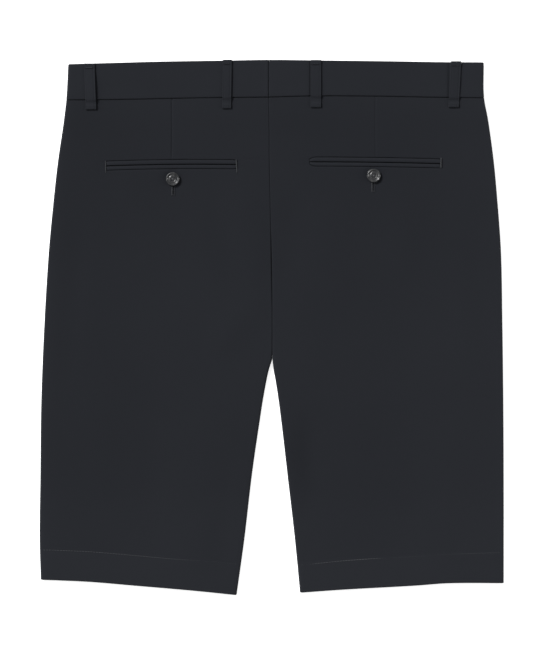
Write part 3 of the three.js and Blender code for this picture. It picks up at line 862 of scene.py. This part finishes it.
def waistband(leg):
    start = float(centre_seam(waist_seam(0.0))) + leg.direction * CLOSED_SEAM / 2

    def fold_at(y):
        return leg.side(y) - leg.direction * BAND_ROLL

    def ring(share, seam, top):
        x = blend(start, fold_at(waist_seam(0.0)), share)
        return strip_section(float(seam(x)) + SEAM_GAP / 2, float(top(x)), BAND_CLOTH, inner=9).T

    def seam_mark(x):
        away = np.abs(x - start)
        ridge = BAND_RIDGE.high[leg.name] * np.exp(-(((away - BAND_RIDGE.from_seam) / BAND_RIDGE.wide) ** 2))
        sunk = sum(deep * np.exp(-(((x - place) / wide) ** 2)) for place, wide, deep in BESIDE_LOOPS)
        return ridge - sunk - BAND_SEAM.deep * (1 - ease(away, 0, BAND_SEAM.wide))

    length = abs(fold_at(waist_seam(0.0)) - start)
    beside = [place - start + step for place, wide, _ in BESIDE_LOOPS for step in wide * np.linspace(-2, 2, 9)]
    even = np.linspace(0.03, 1, BAND_RINGS.even)
    shares = np.unique(np.concatenate([np.array([*BAND_CLOSE, *beside]) / length, even]))
    rings = []
    for share in shares:
        y, deep = ring(share, waist_seam, waist_top)
        x = blend(start, fold_at(y), share)
        relief = (waves(x, y, BAND_WAVES) + seam_mark(x)) * (deep < 1)
        rings.append(xyz(x, y, BAND_TOP - deep + relief))
    for angle in np.linspace(math.pi / 2, -math.pi / 2, BAND_RINGS.side)[1:-1]:
        y, deep = ring(1, waist_seam, waist_top)
        reach = BAND_ROLL - deep
        x = fold_at(y) + leg.direction * reach * math.cos(angle)
        rings.append(xyz(x, y, BAND_LIFT + BAND_ROLL + reach * math.sin(angle)))
    for share in shares[::-1]:
        y, deep = ring(share, lambda x: front_seam(leg, x), lambda x: front_top(leg, x))
        x = blend(start, fold_at(y), share)
        rings.append(xyz(x, y, BAND_LIFT + deep - seam_mark(x) * (deep < 1)))
    return loft(rings)


for leg in LEGS:
    name = f"waistband_half_{leg.name}"
    add_piece(name, waistband(leg), cloth_of_band, f"waistband_{leg.name}")

# %% [markdown]
# ## Allowance of the seat seam
# The seat seam joins the two backs and the two halves of the waistband, and its allowance is
# pressed open inside. It doesn't show, but without it light comes up through the closed seam as
# a bright hairline. One narrow strip follows the seam under the cloth, from the waist to the crotch.

# %% Seat seam allowance
ALLOWANCE = Sizes(
    half=11.0, thick=0.5, under_band=0.2, under_back=0.12, groove=5,
    below_waist=1.2, above_crotch=4, columns=9, rings=130,
)
CENTRE_X = -3.0  # where the centre seam meets the waist


def seat_allowance():
    seam, rings = float(waist_seam(CENTRE_X)), []
    top_end, foot_end = float(waist_top(CENTRE_X)) - ALLOWANCE.below_waist, CROTCH + ALLOWANCE.above_crotch
    under_band = BAND_TOP - BAND_CLOTH - ALLOWANCE.under_band
    for y in np.linspace(top_end, foot_end, ALLOWANCE.rings):
        middle = float(centre_seam(y))
        x = middle + np.linspace(-ALLOWANCE.half, ALLOWANCE.half, ALLOWANCE.columns)
        groove = float(SEAM_GROOVE(y)) * (1 - ease(np.abs(x - middle), 0, ALLOWANCE.groove))
        faces = [float(back_rest(leg_at(place - middle), np.array(place), np.array(y))) for place in x]
        under_back = np.array(faces) - CLOTH - ALLOWANCE.under_back - groove
        over = xyz(x, y, blend(under_back, min(under_band, under_back.min()), ease(y, seam - 8, seam - 2)))
        rings.append(np.concatenate([over, (over - (0, 0, ALLOWANCE.thick))[::-1]]))
    return loft(rings)


allowance = add_piece("seat_allowance", seat_allowance(), cloth_of_legs)

# %% [markdown]
# ## Belt loops
# A belt loop is a narrow folded strip, turned under at both ends and tacked down. It stands off the
# waistband in the middle, which is what lets the shadow in at its edges. It is lofted across its
# width, with rounded long edges and a soft valley along each row of edge stitching.

# %% Belt loops
# "lean" is how far a loop's head lies aside of its foot, and "tip" how much its right edge stands up.
BACK_LOOPS = table(
    "name x lean width foot above tip",
    ("back_far_left", -189.75, -1.6, 11.1, 227.9, -0.3, 1.2),
    ("back_near_left", -46.6, 0.9, 9.4, 229.0, 0.6, 0.3),
    ("back_near_right", 46.4, 0.1, 11.0, 230.2, 0.1, 0.1),
    ("back_far_right", 191.8, 2.6, 10.9, 230.2, 0.7, -0.3),
)
FRONT_LOOPS = table(
    "name x lean width tip", ("front_left", -98.0, 0.0, 12.0, 0.0), ("front_right", 100.0, 0.0, 12.0, 0.0),
)
# How thick a loop is, and where it is folded; the length of the folds, and how far its middle bows out.
LOOP = Sizes(cloth=0.95, folded=1.6, fold=5.0, bow=0.45, above=0.2, below=12.0, climb=3.0)
LOOP_STITCH = Sizes(inset=1.7, wide=0.5, left=0.10, right=0.26)  # how deep each row of stitches sinks
# How a loop's edges are rounded, as shares of its cloth, and the thinnest that it gets.
LOOP_EDGE = Sizes(side=0.45, end=0.45, end_long=0.6, under_side=0.6, under_end=0.3, thinnest=0.12)
print("belt loops:", [row.name for row in (*BACK_LOOPS, *FRONT_LOOPS)])

# %% The shape of a belt loop
def belt_loop(row, foot, head, rest, cloth, folded, bow, stitched=1.0):
    """A loop from foot to head that lies on the heights of rest, bowed out between its folded ends."""
    half, round_edge = row.width / 2, cloth * LOOP_EDGE.side
    offsets = np.concatenate([
        -half + round_edge * (1 - np.cos(np.linspace(0, math.pi / 2, 5))),
        np.linspace(-half + round_edge, half - round_edge, 24)[1:-1],
        half - round_edge * (1 - np.cos(np.linspace(math.pi / 2, 0, 5))),
    ])
    share = (1 - np.cos(np.linspace(0, math.pi, 61))) / 2
    rings = []
    for offset in offsets:
        over = max(0.0, abs(offset) - (half - round_edge)) / round_edge
        thin = round_edge * (1 - math.sqrt(max(0.0, 1 - over * over)))
        y = blend(foot + thin, head - thin, share)
        from_end = np.minimum(y - foot, head - y)
        fold = 1 - ease(from_end, LOOP.fold - 1, LOOP.fold + 1)
        near_end = np.clip(1 - from_end / (LOOP_EDGE.end_long * folded), 0, 1)
        end_round = LOOP_EDGE.end * folded * near_end**2
        tipped = row.tip * (offset / row.width + 0.5) * np.sin(np.pi * np.clip(share * 1.15, 0, 1)) ** 0.6
        low = rest(y) + SEAM_GAP + bow * np.sin(np.pi * share) * (1 - fold) + tipped
        from_row = (half - abs(offset) - LOOP_STITCH.inset) / LOOP_STITCH.wide
        sunk = LOOP_STITCH.left if offset < 0 else LOOP_STITCH.right
        valley = stitched * sunk * math.exp(-from_row * from_row)
        thick = blend(cloth, folded, fold) - thin - end_round - valley
        leaning = row.x + offset + row.lean * ((y - foot) / (head - foot) - 0.5)
        lifted = thin * LOOP_EDGE.under_side + end_round * LOOP_EDGE.under_end
        under = xyz(leaning, y, low + lifted)
        upper = xyz(leaning, y, low + np.maximum(thick, lifted + LOOP_EDGE.thinnest))
        rings.append(np.concatenate([under, upper[::-1]]))
    return loft(rings)


def back_loop(row):
    leg, seam = leg_at(row.x), float(waist_seam(row.x))

    def rest(y):
        climb = ease(y, seam - LOOP.climb, seam)
        return blend(back_rest(leg, np.array(row.x), y), BAND_TOP, climb)

    head = float(waist_top(row.x)) + row.above
    return belt_loop(row, row.foot, head, rest, LOOP.cloth, LOOP.folded, LOOP.bow)


def front_loop(row):
    leg, pressed = leg_at(row.x), BAND_LIFT - SEAM_GAP
    foot = float(front_seam(leg, row.x)) - LOOP.below
    head = float(front_top(leg, row.x)) + LOOP.above
    return belt_loop(row, foot, head, lambda y: y * 0 - SEAM_GAP, pressed, pressed, 0.0, stitched=0.0)


for rows, make in ((BACK_LOOPS, back_loop), (FRONT_LOOPS, front_loop)):
    for row in rows:
        name = f"loop_{row.name}"
        add_piece(name, make(row), cloth_of_loops, f"belt_{name}")

# %% [markdown]
# ## Underlap of the fly
# Behind the closed fly lies a strip of cloth with a rounded foot. It never shows, but the front is
# incomplete without it, so it is one plain lofted strip on the inner face of the fronts.

# %% Fly underlap
FLY = Sizes(left=-34, right=12, length=165, round=26, narrow=0.75, clear=0.45, columns=9)


def fly_underlap():
    middle = float(centre_seam(0.0))
    seam = float(front_seam(LEGS[0], middle))
    foot = seam - FLY.length
    near_foot = foot + FLY.round * np.linspace(0, 1, 14) ** 2
    rings = []
    for y in np.concatenate([near_foot, np.linspace(near_foot[-1], seam - 1, 30)[1:]]):
        in_round = max(0.0, 1 - (y - foot) / FLY.round)
        narrow = (FLY.right - FLY.left) * FLY.narrow * (1 - math.sqrt(1 - in_round**2))
        left, right = middle + FLY.left + narrow, middle + FLY.right
        x = np.linspace(left, right, FLY.columns)
        z = PANEL_LIFT * held(seam - y) + CLOTH + SEAM_GAP + FLY.clear
        under = xyz(x, y, z)
        rings.append(np.concatenate([under, (under + (0, 0, CLOTH))[::-1]]))
    return loft(rings)


underlap = add_piece("underlap", fly_underlap(), cloth_of_legs, "fly_underlap")

# %% [markdown]
# ## Buttons
# A four-hole trouser button has a raised rounded rim, a step inside it and a shallow dish with the
# holes. It is turned on a lathe in real life, and here too: a profile spun round its axis. The
# holes are bored with a Boolean so that they are real holes with thread in them.

# %% Buttons
# Rows of (radius, height), from the middle of the underside to the middle of the dish.
BUTTON_PROFILE = (
    (0.0, 0.0), (2.5, 0.0), (5.0, 0.0), (5.7, 0.16), (6.4, 0.5), (6.95, 0.98), (7.22, 1.5), (7.2, 2.0),
    (7.02, 2.42), (6.72, 2.74), (6.35, 2.88), (5.98, 2.84), (5.62, 2.66), (5.3, 2.36), (5.0, 2.08),
    (4.65, 1.9), (4.3, 1.86), (3.95, 1.96), (3.65, 2.14), (3.35, 2.22), (3.05, 2.16), (2.75, 2.02),
    (2.4, 1.94), (1.8, 1.92), (0.9, 1.92), (0.0, 1.92),
)
# The holes: how far they lie from the middle, and the heights between which they are bored.
BUTTON_HOLES = Sizes(radius=0.85, reach=1.55, low=-1, high=4)
BUTTON_SEGMENTS, HOLE_SEGMENTS = 72, 20
BUTTON_SHARP = 50


def lathe(profile, segments, centre):
    profile = np.array(profile)
    angle = np.linspace(0, 2 * math.pi, segments, endpoint=False)
    points, faces = [(0, 0, profile[0, 1])], []
    for radius, height in profile[1:-1]:
        points += [(radius * math.cos(a), radius * math.sin(a), height) for a in angle]
    points.append((0, 0, profile[-1, 1]))
    rows, last = len(profile) - 2, len(points) - 1
    for k in range(segments):
        after = (k + 1) % segments
        faces.append((0, 1 + after, 1 + k))
        faces.append((last, 1 + (rows - 1) * segments + k, 1 + (rows - 1) * segments + after))
        for row in range(rows - 1):
            a, b = 1 + row * segments + k, 1 + row * segments + after
            faces.append((a, b, b + segments, a + segments))
    return np.array(points) + centre, faces


def button_hole(centre):
    low, high, radius = BUTTON_HOLES.low, BUTTON_HOLES.high, BUTTON_HOLES.radius
    return lathe(((0, low), (radius, low), (radius, high), (0, high)), HOLE_SEGMENTS, centre)


for side, (x, y) in BUTTONS.items():
    base = rest_at(x, y)
    shape = lathe(BUTTON_PROFILE, BUTTON_SEGMENTS, (x, y, base))
    button = add_piece(f"button_{side}", shape, button_horn, f"pocket_button_{side}", BUTTON_SHARP)
    for degrees in (45, 135, 225, 315):
        angle = math.radians(degrees)
        dx, dy = (BUTTON_HOLES.reach * part for part in (math.cos(angle), math.sin(angle)))
        cut(button, button_hole((x + dx, y + dy, base)))
    finish_shading(button, BUTTON_SHARP)
    report_piece(button)

# %% [markdown]
# ## Sewing that shows
# The hems are blind stitched, so only a faint row of short threads shows. The buttonholes are
# edged with close satin stitches, and the pockets end in small upright tacks. A bump could hint
# at all this, but thread that lies on the cloth catches the light and throws a tiny shadow. So
# every stitch is a short rounded thread that dives at both ends, and one mesh holds a whole row.

# %% Stitch maker
STITCH_SIDES = 6
# Rings of one stitch: share of its length, of its radius and of its rise.
STITCH_RINGS = ((0.0, 0.35, 0.0), (0.12, 0.9, 0.45), (0.5, 1.0, 1.0), (0.88, 0.9, 0.45), (1.0, 0.35, 0.0))


def stitches(starts, ends, radius, rise, up=1.0):
    """Short threads from starts to ends, which rise between their two needle holes."""
    starts, ends = np.asarray(starts, float), np.asarray(ends, float)
    upward = np.array([0, 0, up])
    along = ends - starts
    aside = np.cross(along, upward)
    aside = aside / np.linalg.norm(aside, axis=1)[:, None]
    angle = np.arange(STITCH_SIDES) / STITCH_SIDES * 2 * math.pi
    circle = np.cos(angle)[:, None] * aside[:, None, :] + np.sin(angle)[:, None] * upward
    size = np.broadcast_to(radius, len(starts))[:, None, None]
    rings = []
    for share, thick, lift in STITCH_RINGS:
        centre = starts + along * share + upward * (rise * lift)
        rings.append(centre[:, None, :] + circle * size * thick)
    count = len(STITCH_RINGS) * STITCH_SIDES
    one = [list(range(STITCH_SIDES)), list(range(count - 1, count - 1 - STITCH_SIDES, -1))]
    for ring in range(0, count - STITCH_SIDES, STITCH_SIDES):
        for k in range(STITCH_SIDES):
            a, b = ring + k, ring + (k + 1) % STITCH_SIDES
            one.append([b, a, a + STITCH_SIDES, b + STITCH_SIDES])
    faces = [[point + k * count for point in face] for k in range(len(starts)) for face in one]
    return np.stack(rings, 1).reshape(-1, 3), faces


def add_sewing(name, shape, material):
    add_piece(name, shape, material, sharp=60)


print("a stitch has", STITCH_SIDES, "sides and", len(STITCH_RINGS), "rings")

# %% Hem stitches
HEM_STITCH = Sizes(pitch=2.9, long=2.2, radius=0.19, rise=0.16, sunk_rise=0.02, clear=0.02, inset=4)
HIDDEN_STITCHES = 0.6  # how plainly the stitches of the fronts show
# Rows of (x, height above the hem's edge), and of (x, how plainly the stitches show).
HEM_STITCH_LINE = {
    "left": ((-243, 31.6), (-150, 31.8), (-100, 31.6), (-56, 32.9), (-36, 32.6)),
    "right": ((30, 29.2), (44, 29.4), (72, 30.3), (110, 30.9), (188, 30.6), (243, 32.2)),
}
HEM_STITCH_SHOWS = {
    "left": ((-243, 1.0), (-190, 1.1), (-120, 1.0), (-100, 0.7), (-82, 0.1), (-36, 0.0)),
    "right": (
        (30, 0.0), (40, 0.1), (46, 1.1), (60, 1.3), (108, 1.2),
        (116, 0.05), (180, 0.05), (200, 0.4), (243, 0.3),
    ),
}
HEM_INNER_X, HEM_SIDE_Y = 33.0, -235.0  # near a hem's inner corner, and the height of its stitches at the side


def hem_stitches(leg, face_up):
    line, shows = through(HEM_STITCH_LINE[leg.name]), through(HEM_STITCH_SHOWS[leg.name])
    inner = float(leg.inner(leg.hem(leg.direction * HEM_INNER_X) + HEM_DEPTH))
    margin = leg.direction * HEM_STITCH.inset
    first, last = sorted((inner + margin, float(leg.side(HEM_SIDE_Y)) - margin))
    x = np.arange(first, last - HEM_STITCH.long, HEM_STITCH.pitch)

    def place(x):
        y = leg.hem(x) + line(x)
        z = back_rest(leg, x, y) if face_up > 0 else front_face(leg, x, y)
        return xyz(x, y, z + face_up * HEM_STITCH.clear)

    plain = shows(x) if face_up > 0 else HIDDEN_STITCHES + 0 * x
    radius = HEM_STITCH.radius * (0.2 + 0.8 * plain)
    rise = HEM_STITCH.rise if face_up > 0 else HEM_STITCH.sunk_rise
    return stitches(place(x), place(x + HEM_STITCH.long), radius, rise, up=face_up)


for leg in LEGS:
    for face_up, part in ((1, "back"), (-1, "front")):
        add_sewing(f"hem_stitches_{part}_{leg.name}", hem_stitches(leg, face_up), hem_thread)

# %% Satin stitches
SATIN = Sizes(pitch=0.36, radius=0.21, slant=0.12)


def satin_column(bottom, top, left, right, height, rise=0.25):
    """Close stitches that lie across a column, with its edges as functions of y."""
    y = np.arange(bottom, top, SATIN.pitch)
    starts = xyz(left(y), y, height(left(y), y))
    ends = xyz(right(y), y + SATIN.slant, height(right(y), y))
    return stitches(starts, ends, SATIN.radius, rise)


def joined(*shapes):
    points, faces, shift = [], [], 0
    for some_points, some_faces in shapes:
        points.append(some_points)
        faces += [[point + shift for point in face] for face in some_faces]
        shift += len(some_points)
    return np.concatenate(points), faces


print("satin stitches are", SATIN.pitch, "mm apart")

# %% Buttonholes
BUTTONHOLES = {
    "left": Sizes(x=-102.9, top=161.0, foot=138.0),
    "right": Sizes(x=106.5, top=165.0, foot=141.8),
}
BUTTONHOLE = Sizes(slit=0.35, edge=1.9, bar=1.4, bar_rise=0.3, bar_slant=0.1, clear=0.04)
SLOT = Sizes(half=0.25, below=1.2, above=4)  # the cut through the cloth, round the height of the leg
# The cord along the left edge of a buttonhole, which the satin stitches let through. It is pale thread and lies
# on the left edge only, as a painted highlight where that edge faces the light.
CORD = Sizes(pitch=1.05, long=1.2, radius=0.22, rise=0.3, clear=0.1, inset=0.35, start=0.3, slant=0.08)


def buttonhole_slot(hole):
    left, right = hole.x - SLOT.half, hole.x + SLOT.half
    foot, top = hole.foot + BUTTONHOLE.bar, hole.top
    low, high = LEG_STACK - SLOT.below, LEG_STACK + SLOT.above
    return loft([[(x, foot, low), (x, top, low), (x, top, high), (x, foot, high)] for x in (left, right)])


def buttonhole(leg, hole):
    x, slit, edge = hole.x, BUTTONHOLE.slit, BUTTONHOLE.edge
    foot, bar = hole.foot, BUTTONHOLE.bar

    def height(x, y):
        return back_rest(leg, x, y) - button_dip(leg, x, y) + BUTTONHOLE.clear

    sides = [
        satin_column(foot + bar, hole.top, lambda y, a=a: x + a + 0 * y, lambda y, b=b: x + b + 0 * y, height)
        for a, b in ((-edge, -slit), (slit, edge))
    ]
    across_bar = np.arange(x - edge, x + edge, SATIN.pitch)
    starts = xyz(across_bar, foot, height(across_bar, foot))
    ends = xyz(across_bar + BUTTONHOLE.bar_slant, foot + bar, height(across_bar, foot + bar))
    return joined(*sides, stitches(starts, ends, SATIN.radius, BUTTONHOLE.bar_rise))


def buttonhole_highlight_cord(leg, hole):
    y = np.arange(hole.foot + CORD.start, hole.top, CORD.pitch)
    x = hole.x - BUTTONHOLE.edge + CORD.inset
    z = back_rest(leg, x, y) - button_dip(leg, x, y) + CORD.clear
    return stitches(xyz(x, y, z), xyz(x + CORD.slant, y + CORD.long, z), CORD.radius, CORD.rise)


for leg in LEGS:
    hole = BUTTONHOLES[leg.name]
    cut(panels[f"back_{leg.name}"], buttonhole_slot(hole))
    finish_shading(panels[f"back_{leg.name}"])
    add_sewing(f"buttonhole_{leg.name}", buttonhole(leg, hole), seam_thread)
    # pale thread on the left edge only: a painted highlight on the lit side of the buttonhole
    add_sewing(f"buttonhole_cord_{leg.name}", buttonhole_highlight_cord(leg, hole), hem_thread)

# %% Tacks at the ends of the pockets
# Each row: x at the top and at the foot, y at the top and at the foot, width.
POCKET_TACKS = {
    "left_outer": (-173.9, -173.6, 174.6, 162.4, 1.1),
    "left_inner": (-37.0, -36.3, 175.6, 162.6, 1.4),
    "right_outer": (177.7, 177.4, 177.6, 167.4, 1.7),
}
TACK = Sizes(clear=0.12, rise=0.3)
for name, (x_top, x_foot, y_top, y_foot, wide) in POCKET_TACKS.items():
    leg = leg_at(x_top)
    middle = through(((y_foot, x_foot), (y_top, x_top)))
    tack = satin_column(
        y_foot, y_top, lambda y: middle(y) - wide / 2, lambda y: middle(y) + wide / 2,
        lambda x, y: back_rest(leg, x, y) + TACK.clear, TACK.rise,
    )
    add_sewing(f"pocket_tack_{name}", tack, tack_thread)

# %% Threads of the buttons
BUTTON_THREADS = Sizes(strands=3, pitch=0.3, radius=0.19, rise=0.6, past_hole=0.35, height=1.65)
for side, (x, y) in BUTTONS.items():
    height = rest_at(x, y) + BUTTON_THREADS.height
    starts, ends = [], []
    for degrees in (45, 135):
        angle = math.radians(degrees)
        along = np.array([math.cos(angle), math.sin(angle)])
        aside = np.array([-along[1], along[0]])
        for strand in range(BUTTON_THREADS.strands):
            shift = aside * BUTTON_THREADS.pitch * (strand - 1)
            reach = along * (BUTTON_HOLES.reach + BUTTON_THREADS.past_hole)
            starts.append((*(np.array([x, y]) - reach + shift), height))
            ends.append((*(np.array([x, y]) + reach + shift), height))
    thread_cross = stitches(starts, ends, BUTTON_THREADS.radius, BUTTON_THREADS.rise)
    add_sewing(f"button_thread_{side}", thread_cross, hem_thread)

# %% Tacks of the belt loops
LOOP_TACK = Sizes(
    below=5.0, high=0.9, pitch=0.42, radius=0.18, rise=0.14, inset=2.2,
    aside=-0.6, clear=0.02, slant=0.15, lean=0.4, tip=0.45,
)
for row in BACK_LOOPS:
    head = float(waist_top(row.x)) + row.above
    half = row.width / 2 - LOOP_TACK.inset
    middle = row.x + row.lean * LOOP_TACK.lean + LOOP_TACK.aside
    x = middle + np.arange(-half, half, LOOP_TACK.pitch)
    y = head - LOOP_TACK.below
    tipped = row.tip * ((x - row.x) / row.width + 0.5) * LOOP_TACK.tip
    z = BAND_TOP + SEAM_GAP + LOOP.folded + tipped + LOOP_TACK.clear
    starts, ends = xyz(x, y, z), xyz(x + LOOP_TACK.slant, y + LOOP_TACK.high, z)
    material = tack_thread if row.name == "back_far_left" else seam_thread
    add_sewing(f"loop_tack_{row.name}", stitches(starts, ends, LOOP_TACK.radius, LOOP_TACK.rise), material)

# %% [markdown]
# ## Fly stitching on the hidden front
# A closed fly shows one curved row of stitches, which holds the facing, and a short tack at its
# foot; only the row is made here. It runs down the wearer's left front and curves in to the centre
# seam. It lies on the underside, which is flat on the table, so the thread is sunk into the cloth.

# %% Fly stitching
FLY_STITCH = Sizes(
    from_centre=32.0, length=158.0, curve=46.0, pitch=3.2, long=2.6,
    radius=0.17, rise=0.03, sunk=0.01, below_waist=2, waist_x=-20.0,
)


def fly_path():
    """Points down the fly and round its foot to the centre seam."""
    leg = LEGS[0]
    seam = float(front_seam(leg, FLY_STITCH.waist_x))
    foot, curve, wide = seam - FLY_STITCH.length, FLY_STITCH.curve, FLY_STITCH.from_centre
    straight = [(-wide, y) for y in np.linspace(seam - FLY_STITCH.below_waist, foot + curve, 200)]
    angles = np.linspace(0, math.pi / 2, 120)[1:]
    bend = [(-wide + wide * (1 - math.cos(a)) * 0.97, foot + curve * (1 - math.sin(a))) for a in angles]
    return np.array([(float(leg.inner(np.array(y))) + x, y) for x, y in straight + bend])


path = fly_path()
distance = np.concatenate([[0], np.cumsum(np.hypot(*np.diff(path, axis=0).T))])
needle = np.arange(0, distance[-1] - FLY_STITCH.long, FLY_STITCH.pitch)


def on_fly(along):
    x, y = (np.interp(along, distance, path[:, k]) for k in (0, 1))
    return xyz(x, y, front_face(LEGS[0], x, y) - FLY_STITCH.sunk)


ends = on_fly(needle + FLY_STITCH.long)
fly_rows = stitches(on_fly(needle), ends, FLY_STITCH.radius, FLY_STITCH.rise, up=-1)
add_sewing("fly_stitches", fly_rows, seam_thread)

# %% [markdown]
# ## Floor, lights and camera
# The garment lies on a pale table and is photographed from straight above. A bright, even sky
# keeps the shadows as weak as in a studio cut-out, and one large soft light from the upper left
# gives the folds and the loops their soft edge.

# %% Floor
FLOOR_HALF, FLOOR_TOP = 2.5, -0.0002  # metres; just under the cloth
TABLE_GLOW = 0.75  # a lit table, as for a cut-out, keeps shadows off the background
floor_finish = Finish("table_top", Roughness=0.9, Specular_IOR_Level=0.2, Emission_Strength=TABLE_GLOW)
floor_finish.shader.inputs["Emission Color"].default_value = (1, 1, 1, 1)
paper = floor_finish.noise(floor_finish.place(), 40, 3.0)
floor_finish.colour(floor_finish.mix_colours(paper, (0.86, 0.86, 0.86), (0.90, 0.90, 0.90)))
floor_mesh = bpy.data.meshes.new("table_top")
corners = [(x * FLOOR_HALF, y * FLOOR_HALF, FLOOR_TOP) for x, y in ((-1, -1), (1, -1), (1, 1), (-1, 1))]
floor_mesh.from_pydata(corners, [], [(0, 1, 2, 3)])
floor_mesh.materials.append(floor_finish.material)
put("table_top", floor_mesh)
print("the table is", 2 * FLOOR_HALF, "m wide")

# %% Lights
SKY = 0.34  # strength of the even light from everywhere
KEY = Sizes(place=(-1.0, 0.95, 1.15), strength=3.6, soft=16)  # metres, and degrees for its softness
STRIPS = {"strip_left": (-2.4, 0.2, 0.5), "strip_right": (2.4, 0.2, 0.5)}  # metres
STRIP = Sizes(wide=0.5, long=2.4, watts=22)

world = bpy.data.worlds.new("studio")
bpy.context.scene.world = world
world.use_nodes = True
sky = world.node_tree.nodes["Background"].inputs
sky["Color"].default_value, sky["Strength"].default_value = (1, 1, 1, 1), SKY


def hang_light(light, place):
    """Puts a light in its place, turned to the garment."""
    lamp = put(light.name, light)
    lamp.location, lamp.rotation_mode = place, "QUATERNION"
    lamp.rotation_quaternion = (-Vector(place)).to_track_quat("-Z", "Y")


key = bpy.data.lights.new("key", "SUN")
key.energy, key.angle = KEY.strength, math.radians(KEY.soft)
hang_light(key, KEY.place)
for name, place in STRIPS.items():
    light = bpy.data.lights.new(name, "AREA")
    light.shape, light.size, light.size_y, light.energy = "RECTANGLE", STRIP.wide, STRIP.long, STRIP.watts
    hang_light(light, place)

# %% Camera
CAMERA_HEIGHT = 2.0  # metres above the garment
GARMENT_TOP = 6  # height of the cloth that the picture is measured on
PHOTO_ROWS, PIXEL = 650, 1.0473  # the picture's height in pixels, and what one of them spans
PHOTO_MIDDLE = (-1.66, 2.6)  # the place under the middle of the picture
camera_data = bpy.data.cameras.new("camera")
camera_data.sensor_width = 36
camera_data.lens = camera_data.sensor_width * CAMERA_HEIGHT / (PHOTO_ROWS * PIXEL * MM)
camera = put("camera", camera_data)
camera.location = (PHOTO_MIDDLE[0] * MM, PHOTO_MIDDLE[1] * MM, CAMERA_HEIGHT + GARMENT_TOP * MM)
bpy.context.scene.camera = camera
bpy.context.scene.view_settings.view_transform = "Standard"
print("lens:", round(camera_data.lens, 2), "mm")

# %% [markdown]
# ## Going over the legs and the belt loops
# These loops go over the legs, and over the belt loops with the waistband half that each one
# sits on, and leave the scene as it is.

# %% Going over the legs and the belt loops
for leg in LEGS:
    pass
for row in (*BACK_LOOPS, *FRONT_LOOPS):
    band = f"waistband_half_{leg_at(row.x).name}"

# %% Updating the view layer
bpy.context.view_layer.update()
